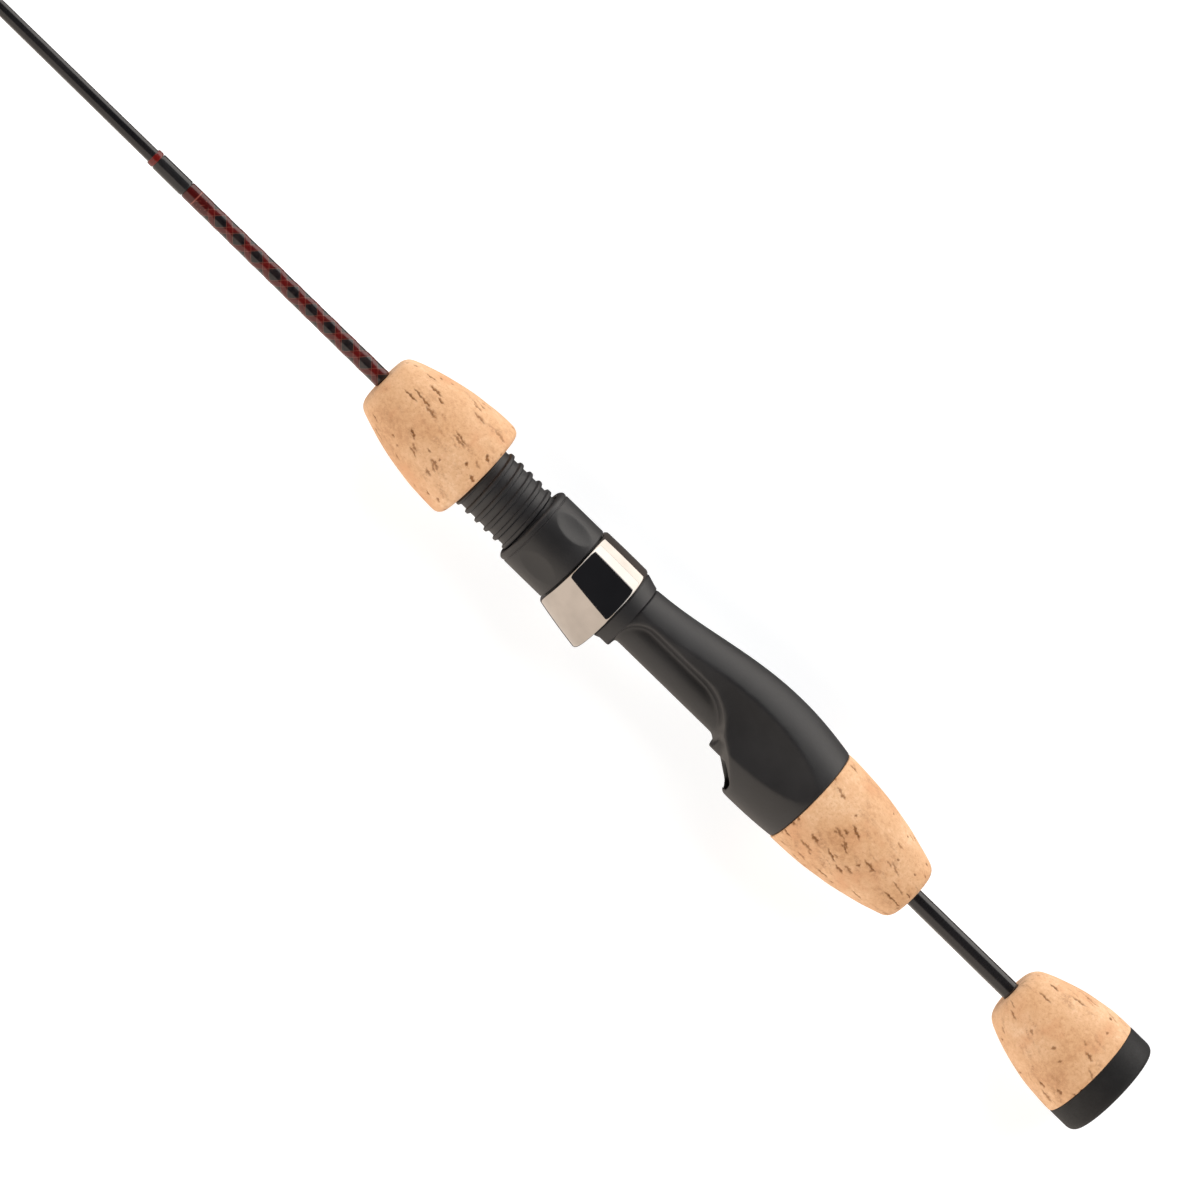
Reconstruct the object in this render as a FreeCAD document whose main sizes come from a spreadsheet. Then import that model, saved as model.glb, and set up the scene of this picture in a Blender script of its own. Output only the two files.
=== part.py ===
import FreeCAD, Part
import math
import os
import re
import Sketcher

# Ice fishing rod, lying on its side.
# +X runs along the rod from the butt to the tip, +Y is the side of the reel and
# the line guides, and the origin is the centre of the butt cap's flat rear face.

doc = FreeCAD.newDocument("ice_fishing_rod")
sheet = doc.addObject("Spreadsheet::Sheet", "sheet")

SIZES = [
    # Blank: a solid taper over the whole rod
    ("rod_length", 711.2),
    ("blank_butt_radius", 2.3),
    ("blank_tip_radius", 0.75),
    ("blank_start", 4.0),
    ("glue_gap", 0.02),
    # Butt knob
    ("cap_length", 7.3),
    ("cap_radius", 13.0),
    ("cap_rim_fillet", 2.2),
    ("cap_front_fillet", 0.4),
    ("knob_front", 32.2),
    ("knob_front_radius", 7.1),
    ("knob_bow_radius", 54.0),
    ("knob_front_fillet", 2.6),
    # Rear grip
    ("grip_rear", 63.6),
    ("grip_front", 95.6),
    ("grip_rear_radius", 7.2),
    ("grip_front_radius", 12.7),
    ("grip_bow_radius", 92.0),
    ("grip_rear_fillet", 2.4),
    # Foregrip
    ("fore_rear", 198.7),
    ("fore_crown", 202.0),
    ("fore_front", 228.7),
    ("fore_crown_radius", 12.85),
    ("fore_front_radius", 7.2),
    ("fore_bow_radius", 72.0),
    ("fore_rear_fillet", 2.6),
    ("fore_front_fillet", 2.6),
    # Reel seat: bore, exposed tube and threaded barrel
    ("seat_front", 198.65),
    ("seat_bore_radius", 4.2),
    ("tube_radius", 5.3),
    ("barrel_start", 152.4),
    ("sleeve_radius", 8.3),
    ("sleeve_front", 166.5),
    ("barrel_root_radius", 7.6),
    ("foot_bed_height", 7.4),
    ("keyway_half_width", 1.25),
    ("keyway_floor", 7.1),
    ("keyway_start", 156.5),
    ("keyway_front", 187.5),
    # Thread
    ("thread_pitch", 2.85),
    ("thread_start", 168.6),
    ("thread_turns", 10.0),
    ("thread_ridge_width", 1.3),
    ("thread_crest_radius", 8.3),
    # Palm swell: back, reel side and half depth at each section
    ("palm_one_station", 95.62),
    ("palm_one_back", 12.7),
    ("palm_one_reel", 12.5),
    ("palm_one_depth", 12.6),
    ("palm_two_station", 107.0),
    ("palm_two_back", 14.1),
    ("palm_two_reel", 13.1),
    ("palm_two_depth", 12.6),
    ("palm_three_station", 120.0),
    ("palm_three_back", 13.85),
    ("palm_three_reel", 12.6),
    ("palm_three_depth", 11.6),
    ("palm_four_station", 134.0),
    ("palm_four_back", 11.7),
    ("palm_four_reel", 11.0),
    ("palm_four_depth", 10.0),
    ("palm_five_station", 145.0),
    ("palm_five_back", 9.8),
    ("palm_five_reel", 9.5),
    ("palm_five_depth", 8.95),
    ("palm_six_station", 152.4),
    ("palm_six_back", 9.05),
    ("palm_six_reel", 8.9),
    ("palm_six_depth", 8.9),
    # Flank scoops: each is part of a large torus whose axis runs across the rod
    ("scoop_station", 155.3),
    ("scoop_height", 1.0),
    ("scoop_offset", 408.2),
    ("scoop_sweep_radius", 340.0),
    ("scoop_section_radius", 60.0),
    # Side recess that bares the tube, open towards the reel
    ("recess_taper", 12.0),
    ("recess_depth", 16.0),
    ("mouth_top_station", 107.5),
    ("mouth_top_height", 15.03),
    ("mouth_foot_station", 121.5),
    ("mouth_foot_height", 5.24),
    ("recess_rear_station", 131.0),
    ("recess_floor", -0.3),
    ("recess_rear_radius", 12.0),
    ("recess_front_station", 147.0),
    ("recess_end_station", 151.4),
    ("recess_end_height", 4.6),
    ("recess_front_radius", 5.0),
    # Rear pocket for the reel's foot
    ("pocket_start", 101.5),
    ("pocket_floor", 7.7),
    ("pocket_roof_radius", 12.2),
    ("pocket_half_width", 6.5),
    ("lip_front", 119.6),
    # Arbors between the blank and the seat's bore
    ("arbor_length", 14.0),
    ("arbor_rear_station", 98.0),
    ("arbor_middle_station", 134.0),
    ("arbor_front_station", 180.0),
    # Sliding hood: metal shell over a moulded liner
    ("hood_rear", 156.4),
    ("hood_middle", 163.0),
    ("hood_front", 169.7),
    ("hood_wall", 0.9),
    ("hood_rear_back", 10.6),
    ("hood_rear_reel", 13.1),
    ("hood_rear_depth", 11.4),
    ("hood_middle_back", 10.65),
    ("hood_middle_reel", 12.1),
    ("hood_middle_depth", 11.0),
    ("hood_front_back", 10.55),
    ("hood_front_reel", 10.8),
    ("hood_front_depth", 10.6),
    ("hood_front_fillet", 0.7),
    ("hood_rear_fillet", 0.25),
    ("liner_bore_radius", 8.4),
    ("liner_rear", 152.7),
    ("liner_rear_radius", 9.2),
    ("liner_flare_radius", 10.2),
    ("liner_neck_radius", 9.0),
    ("liner_neck_front", 172.6),
    ("liner_bead_radius", 9.25),
    ("liner_bead_length", 1.2),
    ("liner_pocket_front", 167.6),
    ("key_half_width", 1.15),
    ("key_floor", 7.2),
    ("key_rear", 158.0),
    ("key_front", 168.0),
    # Lock nut
    ("nut_rear", 169.95),
    ("nut_front", 183.1),
    ("nut_radius", 10.0),
    ("nut_lip_radius", 9.1),
    ("nut_lip_front", 171.1),
    ("nut_cup_radius", 9.4),
    ("nut_cup_front", 173.4),
    ("nut_bore_radius", 8.45),
    ("nut_chamfer", 0.7),
    ("nut_thread_tip_radius", 7.85),
    ("nut_thread_turns", 2.0),
    ("nut_thread_offset_turns", 2.5),
    ("nut_ring_station", 181.4),
    ("nut_ring_width", 0.35),
    ("nut_ring_depth", 0.25),
    ("dimple_station", 175.8),
    ("dimple_count", 5.0),
    ("dimple_depth", 0.55),
    ("dimple_ball_radius", 20.0),
    # Thread windings on the blank in front of the foregrip
    ("winding_build", 0.38),
    ("diamond_front", 289.3),
    ("black_front", 298.2),
    ("trim_front", 299.8),
    ("winding_end_fillet", 0.3),
    # Line guides: station, ring bore radius and height of the ring's centre
    ("guide_one_station", 385.0),
    ("guide_one_bore", 4.4),
    ("guide_one_height", 12.6),
    ("guide_two_station", 460.0),
    ("guide_two_bore", 3.4),
    ("guide_two_height", 9.9),
    ("guide_three_station", 530.0),
    ("guide_three_bore", 2.8),
    ("guide_three_height", 8.2),
    ("guide_four_station", 595.0),
    ("guide_four_bore", 2.4),
    ("guide_four_height", 7.0),
    ("guide_five_station", 655.0),
    ("guide_five_bore", 2.1),
    ("guide_five_height", 6.2),
    ("ring_wall", 0.8),
    ("ring_width", 1.7),
    ("ring_edge_radius", 0.38),
    ("hoop_wall", 0.75),
    ("hoop_width", 0.9),
    ("strap_thickness", 0.7),
    ("strap_width", 2.2),
    ("foot_length", 10.0),
    ("foot_tip_thickness", 0.2),
    ("foot_width", 1.5),
    ("bend_radius", 1.6),
    ("guide_wrap_start", 3.0),
    ("guide_wrap_length", 12.0),
    ("guide_wrap_build", 0.32),
    ("guide_wrap_cover", 1.2),
    # Tip top
    ("tip_tube_radius", 1.3),
    ("tip_tube_length", 9.0),
    ("tip_ring_bore", 1.9),
    ("tip_ring_height", 4.1),
    ("tip_wrap_length", 6.0),
]

for row, (alias, size) in enumerate(SIZES, 1):
    sheet.set("A%d" % row, alias.replace("_", " "))
    sheet.set("B%d" % row, str(size))
    sheet.setAlias("B%d" % row, alias)
doc.recompute()


def bind(text):
    """An expression in sheet aliases, written so that other objects can use it."""
    return re.sub(r"[a-z]+(_[a-z]+)+", r"sheet.\g<0>", text)


def number(text):
    """The value of an expression in sheet aliases."""
    value = sheet.evalExpression(bind(text))
    return float(getattr(value, "Value", value))


def blank_radius(station):
    """The blank's radius at a station along the rod, as an expression."""
    return "(blank_butt_radius - (blank_butt_radius - blank_tip_radius)*(%s)/rod_length)" % station


def bond_radius(station):
    """The bore that fits the blank at a station, with its glue line."""
    return blank_radius(station) + " + glue_gap"


def new_body(name, station="0"):
    body = doc.addObject("PartDesign::Body", name)
    body.Label = name
    body.setExpression("Placement.Base.x", bind(station))
    return body


def new_sketch(body, name, role="XY_Plane"):
    sketch = body.newObject("Sketcher::SketchObject", name)
    origin_plane = [item for item in body.Origin.OriginFeatures if item.Role == role][0]
    sketch.AttachmentSupport = [(origin_plane, "")]
    sketch.MapMode = "FlatFace"
    return sketch


def draw_outline(sketch, corners, bows=None):
    """A closed outline through corners given as pairs of expressions.

    bows gives the arc radius, as an expression, of the edges that start at a corner.
    A leading minus sign bows the edge to the other side of its travel.
    """
    bows = bows or {}
    points = [FreeCAD.Vector(number(x), number(y), 0) for x, y in corners]
    count = len(points)
    ends = []
    for index in range(count):
        start = points[index]
        stop = points[(index + 1) % count]
        if index in bows:
            side = -1 if bows[index].startswith("-") else 1
            radius = number(bows[index].lstrip("-"))
            chord = stop - start
            left = FreeCAD.Vector(-chord.y, chord.x, 0).normalize()
            rise = radius - math.sqrt(radius**2 - (chord.Length / 2) ** 2)
            middle = (start + stop) / 2 + left * (rise * side)
            edge = sketch.addGeometry(Part.Arc(start, middle, stop))
            begins = sketch.getPoint(edge, 1).distanceToPoint(start) < 1e-6
            ends.append((1, 2) if begins else (2, 1))
        else:
            sketch.addGeometry(Part.LineSegment(start, stop))
            ends.append((1, 2))
    for index in range(count):
        after = (index + 1) % count
        sketch.addConstraint(Sketcher.Constraint("Coincident", index, ends[index][1], after, ends[after][0]))
    for index, (x, y) in enumerate(corners):
        for kind, text, value in (("DistanceX", x, points[index].x), ("DistanceY", y, points[index].y)):
            made = sketch.addConstraint(Sketcher.Constraint(kind, -1, 1, index, ends[index][0], value))
            sketch.setExpression("Constraints[%d]" % made, bind(text))
    for index, text in bows.items():
        radius = text.lstrip("-")
        made = sketch.addConstraint(Sketcher.Constraint("Radius", index, number(radius)))
        sketch.setExpression("Constraints[%d]" % made, bind(radius))


def turn_profile(body, name, corners, bows=None):
    """A solid of revolution about the rod's axis."""
    sketch = new_sketch(body, name + "_profile")
    draw_outline(sketch, corners, bows)
    turned = body.newObject("PartDesign::Revolution", name + "_turning")
    turned.Profile = sketch
    turned.ReferenceAxis = (sketch, ["H_Axis"])
    turned.Angle = 360
    doc.recompute()
    return turned


def rim(shape, station, radius):
    """The names of the circular edges about the rod's axis at a local station."""
    names = []
    for index, edge in enumerate(shape.Edges, 1):
        curve = edge.Curve
        if not isinstance(curve, Part.Circle):
            continue
        if abs(curve.Center.x - station) < 0.01 and abs(curve.Radius - radius) < 0.01:
            names.append("Edge%d" % index)
    return names


def round_rim(body, name, station, radius, size):
    """Rounds one turned rim, given by expressions."""
    feature = body.Tip
    fillet = body.newObject("PartDesign::Fillet", name)
    fillet.Base = (feature, rim(feature.Shape, number(station), number(radius)))
    fillet.setExpression("Radius", bind(size))
    doc.recompute()
    return fillet


# Blank
blank = new_body("blank", "blank_start")
turn_profile(
    blank,
    "blank",
    [
        ("0", "0"),
        ("0", blank_radius("blank_start")),
        ("rod_length - 1 - blank_start", blank_radius("rod_length - 1")),
        ("rod_length - 1 - blank_start", "0"),
    ],
)

# Butt cap: a rubber disc with a blind socket for the blank's end
butt_cap = new_body("butt_cap")
turn_profile(
    butt_cap,
    "cap",
    [
        ("0", "0"),
        ("0", "cap_radius"),
        ("cap_length - glue_gap", "cap_radius"),
        ("cap_length - glue_gap", bond_radius("cap_length")),
        ("blank_start - glue_gap", bond_radius("blank_start")),
        ("blank_start - glue_gap", "0"),
    ],
)
round_rim(butt_cap, "cap_rear_round", "0", "cap_radius", "cap_rim_fillet")
round_rim(butt_cap, "cap_front_round", "cap_length - glue_gap", "cap_radius", "cap_front_fillet")

# Butt knob cork
butt_cork = new_body("butt_cork", "cap_length")
turn_profile(
    butt_cork,
    "knob",
    [
        ("0", bond_radius("cap_length")),
        ("0", "cap_radius"),
        ("knob_front - cap_length", "knob_front_radius"),
        ("knob_front - cap_length", bond_radius("knob_front")),
    ],
    {1: "knob_bow_radius"},
)
round_rim(butt_cork, "knob_round", "knob_front - cap_length", "knob_front_radius", "knob_front_fillet")

# Rear grip cork
rear_grip_cork = new_body("rear_grip_cork", "grip_rear")
turn_profile(
    rear_grip_cork,
    "grip",
    [
        ("0", bond_radius("grip_rear")),
        ("0", "grip_rear_radius"),
        ("grip_front - grip_rear", "grip_front_radius"),
        ("grip_front - grip_rear", bond_radius("grip_front")),
    ],
    {1: "grip_bow_radius"},
)
round_rim(rear_grip_cork, "grip_round", "0", "grip_rear_radius", "grip_rear_fillet")

# Foregrip cork
foregrip_cork = new_body("foregrip_cork", "fore_rear")
turn_profile(
    foregrip_cork,
    "fore",
    [
        ("0", bond_radius("fore_rear")),
        ("0", "fore_crown_radius"),
        ("fore_crown - fore_rear", "fore_crown_radius"),
        ("fore_front - fore_rear", "fore_front_radius"),
        ("fore_front - fore_rear", bond_radius("fore_front")),
    ],
    {2: "fore_bow_radius"},
)
round_rim(foregrip_cork, "fore_rear_round", "0", "fore_crown_radius", "fore_rear_fillet")
round_rim(
    foregrip_cork,
    "fore_front_round",
    "fore_front - fore_rear",
    "fore_front_radius",
    "fore_front_fillet",
)

# Arbors: bushings that centre the blank in the seat's wide bore
for place in ("rear", "middle", "front"):
    start = "arbor_%s_station" % place
    arbor = new_body("arbor_" + place, start)
    turn_profile(
        arbor,
        "arbor_" + place,
        [
            ("0", bond_radius(start)),
            ("0", "seat_bore_radius - glue_gap"),
            ("arbor_length", "seat_bore_radius - glue_gap"),
            ("arbor_length", bond_radius("%s + arbor_length" % start)),
        ],
    )

# Thread windings: three neighbouring sleeves wound on the blank
for name, start, stop in (
    ("diamond_wrap", "fore_front", "diamond_front"),
    ("black_wrap", "diamond_front", "black_front"),
    ("trim_band", "black_front", "trim_front"),
):
    winding = new_body(name, start)
    length = "%s - %s - glue_gap" % (stop, start)
    turn_profile(
        winding,
        name,
        [
            ("glue_gap", bond_radius(start)),
            ("glue_gap", blank_radius(start) + " + winding_build"),
            (length, blank_radius(stop) + " + winding_build"),
            (length, bond_radius(stop)),
        ],
    )
round_rim(
    doc.getObject("trim_band"),
    "trim_round",
    "trim_front - black_front - glue_gap",
    blank_radius("trim_front") + " + winding_build",
    "winding_end_fillet",
)

# Reel seat
ACROSS = FreeCAD.Rotation(FreeCAD.Vector(1, 1, 1), 120)
ALONG = FreeCAD.Rotation(FreeCAD.Vector(0, 1, 0), 90)


def oval(name, station, back, reel, depth):
    """An ellipse square to the rod: back and reel are its reaches to -Y and +Y, depth its half Z size."""
    shape = doc.addObject("Part::Ellipse", name)
    shape.Placement = FreeCAD.Placement(FreeCAD.Vector(), ACROSS)
    shape.setExpression("Placement.Base.x", bind(station))
    shape.setExpression("Placement.Base.y", bind("((%s) - (%s))/2" % (reel, back)))
    reach = "((%s) + (%s))/2" % (reel, back)
    shape.MajorRadius = number(reach)
    shape.MinorRadius = number(depth)
    shape.setExpression("MajorRadius", bind(reach))
    shape.setExpression("MinorRadius", bind(depth))
    return shape


def loft(name, sections):
    solid = doc.addObject("Part::Loft", name)
    solid.Sections = sections
    solid.Solid = True
    solid.Ruled = False
    return solid


def rod_cylinder(name, station, length, radius):
    """A cylinder on the rod's axis."""
    solid = doc.addObject("Part::Cylinder", name)
    solid.Placement = FreeCAD.Placement(FreeCAD.Vector(), ALONG)
    solid.setExpression("Placement.Base.x", bind(station))
    solid.setExpression("Height", bind(length))
    solid.setExpression("Radius", bind(radius))
    return solid


def block(name, start, stop, low, high, half_width):
    """A box between two stations and two heights, centred across the rod."""
    solid = doc.addObject("Part::Box", name)
    solid.setExpression("Placement.Base.x", bind(start))
    solid.setExpression("Placement.Base.y", bind(low))
    solid.setExpression("Placement.Base.z", bind("-(%s)" % half_width))
    solid.setExpression("Length", bind("(%s) - (%s)" % (stop, start)))
    solid.setExpression("Width", bind("(%s) - (%s)" % (high, low)))
    solid.setExpression("Height", bind("2*(%s)" % half_width))
    return solid


def combine(kind, name, first, second):
    solid = doc.addObject(kind, name)
    if kind == "Part::Cut":
        solid.Base = first
        solid.Tool = second
    else:
        solid.Shapes = [first] + list(second)
    return solid


SECTIONS = ("one", "two", "three", "four", "five", "six")
palm_ovals = []
for step in SECTIONS:
    reaches = ["palm_%s_%s" % (step, side) for side in ("back", "reel", "depth")]
    palm_ovals.append(oval("palm_oval_" + step, "palm_%s_station" % step, *reaches))
palm_form = loft("palm_form", palm_ovals)

scoops = []
for side, sign in (("top", ""), ("bottom", "-")):
    scoop = doc.addObject("Part::Torus", "scoop_" + side)
    scoop.Placement = FreeCAD.Placement(FreeCAD.Vector(), FreeCAD.Rotation(FreeCAD.Vector(1, 0, 0), 90))
    scoop.setExpression("Placement.Base.x", bind("scoop_station"))
    scoop.setExpression("Placement.Base.y", bind("scoop_height"))
    scoop.setExpression("Placement.Base.z", bind(sign + "scoop_offset"))
    scoop.setExpression("Radius1", bind("scoop_sweep_radius"))
    scoop.setExpression("Radius2", bind("scoop_section_radius"))
    scoops.append(scoop)
half_palm = combine("Part::Cut", "half_palm", palm_form, scoops[0])
waisted_palm = combine("Part::Cut", "waisted_palm", half_palm, scoops[1])

recess_sketch = doc.addObject("Sketcher::SketchObject", "recess_outline")
draw_outline(
    recess_sketch,
    [
        ("mouth_top_station", "mouth_top_height"),
        ("mouth_foot_station", "mouth_foot_height"),
        ("recess_rear_station", "recess_floor"),
        ("recess_front_station", "recess_floor"),
        ("recess_end_station", "recess_end_height"),
        ("recess_end_station", "mouth_top_height"),
    ],
    {1: "-recess_rear_radius", 3: "-recess_front_radius"},
)
recess = doc.addObject("Part::Extrusion", "recess")
recess.Base = recess_sketch
recess.DirMode = "Normal"
recess.Solid = True
recess.setExpression("LengthFwd", bind("recess_depth"))
recess.setExpression("LengthRev", bind("recess_depth"))
recess.setExpression("TaperAngle", bind("recess_taper"))
recess.setExpression("TaperAngleRev", bind("recess_taper"))
open_palm = combine("Part::Cut", "open_palm", waisted_palm, recess)

pocket = combine(
    "Part::MultiCommon",
    "pocket",
    block(
        "pocket_block",
        "pocket_start",
        "lip_front + 8",
        "pocket_floor",
        "cap_radius + 3",
        "pocket_half_width",
    ),
    [rod_cylinder("pocket_roof", "pocket_start", "lip_front + 8 - pocket_start", "pocket_roof_radius")],
)
pocketed_palm = combine("Part::Cut", "pocketed_palm", open_palm, pocket)

lip = combine(
    "Part::MultiCommon",
    "lip",
    block("lip_block", "pocket_start", "lip_front", "0", "pocket_floor", "pocket_half_width"),
    [rod_cylinder("lip_round", "pocket_start", "lip_front - pocket_start", "pocket_floor + 1")],
)
tube = rod_cylinder("tube", "palm_one_station", "barrel_start + 1 - palm_one_station", "tube_radius")

barrel = new_body("barrel_form", "barrel_start")
turn_profile(
    barrel,
    "barrel",
    [
        ("0", "0"),
        ("0", "sleeve_radius"),
        ("sleeve_front - barrel_start", "sleeve_radius"),
        ("sleeve_front + 0.7 - barrel_start", "barrel_root_radius"),
        ("seat_front - barrel_start", "barrel_root_radius"),
        ("seat_front - barrel_start", "0"),
    ],
)
ridge_profile = new_sketch(barrel, "ridge_profile")
draw_outline(
    ridge_profile,
    [
        ("thread_start - barrel_start", "barrel_root_radius - 0.1"),
        ("thread_start - barrel_start", "barrel_root_radius"),
        ("thread_start - barrel_start + thread_ridge_width/2", "thread_crest_radius"),
        ("thread_start - barrel_start + thread_ridge_width", "barrel_root_radius"),
        ("thread_start - barrel_start + thread_ridge_width", "barrel_root_radius - 0.1"),
    ],
    {1: "thread_ridge_width", 2: "thread_ridge_width"},
)
ridge = barrel.newObject("PartDesign::AdditiveHelix", "ridge")
ridge.Profile = ridge_profile
ridge.ReferenceAxis = (ridge_profile, ["H_Axis"])
ridge.Mode = 0
ridge.setExpression("Pitch", bind("thread_pitch"))
ridge.setExpression("Height", bind("thread_pitch*thread_turns"))
doc.recompute()

seat_shell = combine("Part::MultiFuse", "seat_shell", pocketed_palm, [lip, tube, barrel])
foot_bed = block(
    "foot_bed",
    "barrel_start - 1",
    "sleeve_front + 0.5",
    "foot_bed_height",
    "sleeve_radius + 2",
    "sleeve_radius",
)
keyway = block(
    "keyway",
    "keyway_start",
    "keyway_front",
    "-sleeve_radius - 1",
    "-keyway_floor",
    "keyway_half_width",
)
seat_bore = rod_cylinder(
    "seat_bore",
    "palm_one_station - 1",
    "seat_front + 2 - palm_one_station",
    "seat_bore_radius",
)
seat_tools = doc.addObject("Part::MultiFuse", "seat_tools")
seat_tools.Shapes = [foot_bed, keyway, seat_bore]
seat_body = combine("Part::Cut", "seat_body", seat_shell, seat_tools)
doc.recompute()

# Hood: a metal shell with a moulded liner that carries its key
outer_ovals = []
inner_ovals = []
for step in ("rear", "middle", "front"):
    reach = ["hood_%s_%s" % (step, side) for side in ("back", "reel", "depth")]
    inside = ["%s - hood_wall" % side for side in reach]
    station = "hood_" + step
    deep = "hood_front - hood_wall" if step == "front" else station
    outer_ovals.append(oval("hood_outer_" + step, station, *reach))
    inner_ovals.append(oval("hood_inner_" + step, deep, *inside))
hood_outside = loft("hood_outside", outer_ovals)
hood_inside = loft("hood_inside", inner_ovals)
hood_mouth = rod_cylinder("hood_mouth", "hood_front - 2", "4", "liner_neck_radius + glue_gap")
hood_hollow = combine("Part::MultiFuse", "hood_hollow", hood_inside, [hood_mouth])
hood_raw = combine("Part::Cut", "hood_raw", hood_outside, hood_hollow)
doc.recompute()


def outer_edges_at(shape, station, reach):
    """The names of the edges that lie in the plane of a station, beyond a radius."""
    names = []
    for index, edge in enumerate(shape.Edges, 1):
        box = edge.BoundBox
        middle = edge.valueAt((edge.FirstParameter + edge.LastParameter) / 2)
        flat = abs(box.XMin - station) < 0.02 and abs(box.XMax - station) < 0.02
        if flat and math.hypot(middle.y, middle.z) > reach:
            names.append(index)
    return names


hood_shell = doc.addObject("Part::Fillet", "hood_shell")
hood_shell.Base = hood_raw
front_edges = outer_edges_at(hood_raw.Shape, number("hood_front"), number("liner_neck_radius + 1"))
rear_edges = outer_edges_at(hood_raw.Shape, number("hood_rear"), number("hood_rear_back - hood_wall/2"))
front_round = number("hood_front_fillet")
hood_shell.Edges = [(index, front_round, front_round) for index in front_edges] + [
    (index, number("hood_rear_fillet"), number("hood_rear_fillet")) for index in rear_edges
]

collar = new_body("collar_form", "liner_rear")
turn_profile(
    collar,
    "collar",
    [
        ("0", "0"),
        ("0", "liner_rear_radius"),
        ("hood_rear - 0.4 - liner_rear", "liner_flare_radius"),
        ("hood_rear - glue_gap - liner_rear", "liner_flare_radius - 0.2"),
        ("hood_rear - glue_gap - liner_rear", "liner_rear_radius"),
        ("hood_rear + 2 - liner_rear", "liner_rear_radius"),
        ("hood_rear + 2 - liner_rear", "0"),
    ],
)
neck = new_body("neck_form", "hood_front - 2")
turn_profile(
    neck,
    "neck",
    [
        ("0", "0"),
        ("0", "liner_neck_radius"),
        ("liner_neck_front - liner_bead_length + 2 - hood_front", "liner_neck_radius"),
        ("liner_neck_front - liner_bead_length + 2 - hood_front", "liner_bead_radius"),
        ("liner_neck_front - liner_bead_length/2 + 2 - hood_front", "liner_bead_radius"),
        ("liner_neck_front + 2 - hood_front", "liner_neck_radius"),
        ("liner_neck_front + 2 - hood_front", "0"),
    ],
)
liner_outside = combine("Part::MultiFuse", "liner_outside", hood_inside, [collar, neck])
liner_pocket = block(
    "liner_pocket",
    "liner_rear - 1",
    "liner_pocket_front",
    "liner_bore_radius/2",
    "hood_rear_reel + 1",
    "pocket_half_width",
)
liner_bore = rod_cylinder(
    "liner_bore",
    "liner_rear - 1",
    "liner_neck_front + 2 - liner_rear",
    "liner_bore_radius",
)
liner_tools = combine("Part::MultiFuse", "liner_tools", liner_pocket, [liner_bore])
liner_open = combine("Part::Cut", "liner_open", liner_outside, liner_tools)
key = block("key", "key_rear", "key_front", "-liner_bore_radius - 0.5", "-key_floor", "key_half_width")
hood_liner = combine("Part::MultiFuse", "hood_liner", liner_open, [key])
doc.recompute()

# Lock nut: snapped over the liner's bead, threaded on the barrel
lock_nut = new_body("lock_nut", "nut_rear")
turn_profile(
    lock_nut,
    "nut",
    [
        ("0", "nut_lip_radius"),
        ("0", "nut_radius - 0.3"),
        ("0.3", "nut_radius"),
        ("nut_front - nut_chamfer - nut_rear", "nut_radius"),
        ("nut_front - nut_rear", "nut_radius - nut_chamfer"),
        ("nut_front - nut_rear", "nut_bore_radius"),
        ("nut_cup_front - nut_rear", "nut_bore_radius"),
        ("nut_cup_front - nut_rear", "nut_cup_radius"),
        ("nut_lip_front - nut_rear", "nut_cup_radius"),
        ("nut_lip_front - nut_rear", "nut_lip_radius"),
    ],
)
nut_thread = new_sketch(lock_nut, "nut_thread_profile")
middle = "(thread_start + thread_ridge_width/2 + thread_pitch*nut_thread_offset_turns - nut_rear)"
draw_outline(
    nut_thread,
    [
        (middle + " - 1", "nut_bore_radius + 0.2"),
        (middle + " - 0.9", "nut_bore_radius"),
        (middle + " - 0.3", "nut_thread_tip_radius"),
        (middle + " + 0.3", "nut_thread_tip_radius"),
        (middle + " + 0.9", "nut_bore_radius"),
        (middle + " + 1", "nut_bore_radius + 0.2"),
    ],
)
nut_ridge = lock_nut.newObject("PartDesign::AdditiveHelix", "nut_ridge")
nut_ridge.Profile = nut_thread
nut_ridge.ReferenceAxis = (nut_thread, ["H_Axis"])
nut_ridge.Mode = 0
nut_ridge.setExpression("Pitch", bind("thread_pitch"))
nut_ridge.setExpression("Height", bind("thread_pitch*nut_thread_turns"))
doc.recompute()

ring_groove = new_sketch(lock_nut, "ring_groove_profile")
draw_outline(
    ring_groove,
    [
        ("nut_ring_station - nut_rear", "nut_radius - nut_ring_depth"),
        ("nut_ring_station - nut_rear", "nut_radius + 1"),
        ("nut_ring_station + nut_ring_width - nut_rear", "nut_radius + 1"),
        ("nut_ring_station + nut_ring_width - nut_rear", "nut_radius - nut_ring_depth"),
    ],
)
ring_cut = lock_nut.newObject("PartDesign::Groove", "ring_cut")
ring_cut.Profile = ring_groove
ring_cut.ReferenceAxis = (ring_groove, ["H_Axis"])
ring_cut.Angle = 360
doc.recompute()

dimple = lock_nut.newObject("PartDesign::SubtractiveSphere", "dimple")
level_plane = [item for item in lock_nut.Origin.OriginFeatures if item.Role == "XY_Plane"][0]
dimple.AttachmentSupport = [(level_plane, "")]
dimple.MapMode = "FlatFace"
dimple.setExpression("Radius", bind("dimple_ball_radius"))
dimple.setExpression("AttachmentOffset.Base.x", bind("dimple_station - nut_rear"))
dimple.setExpression("AttachmentOffset.Base.z", bind("-(nut_radius - dimple_depth + dimple_ball_radius)"))
doc.recompute()
dimples = lock_nut.newObject("PartDesign::PolarPattern", "dimples")
dimples.Originals = [dimple]
turning_axis = [item for item in lock_nut.Origin.OriginFeatures if item.Role == "X_Axis"][0]
dimples.Axis = (turning_axis, [""])
dimples.Angle = 360
dimples.Occurrences = int(number("dimple_count"))
lock_nut.Tip = dimples
doc.recompute()


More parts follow.
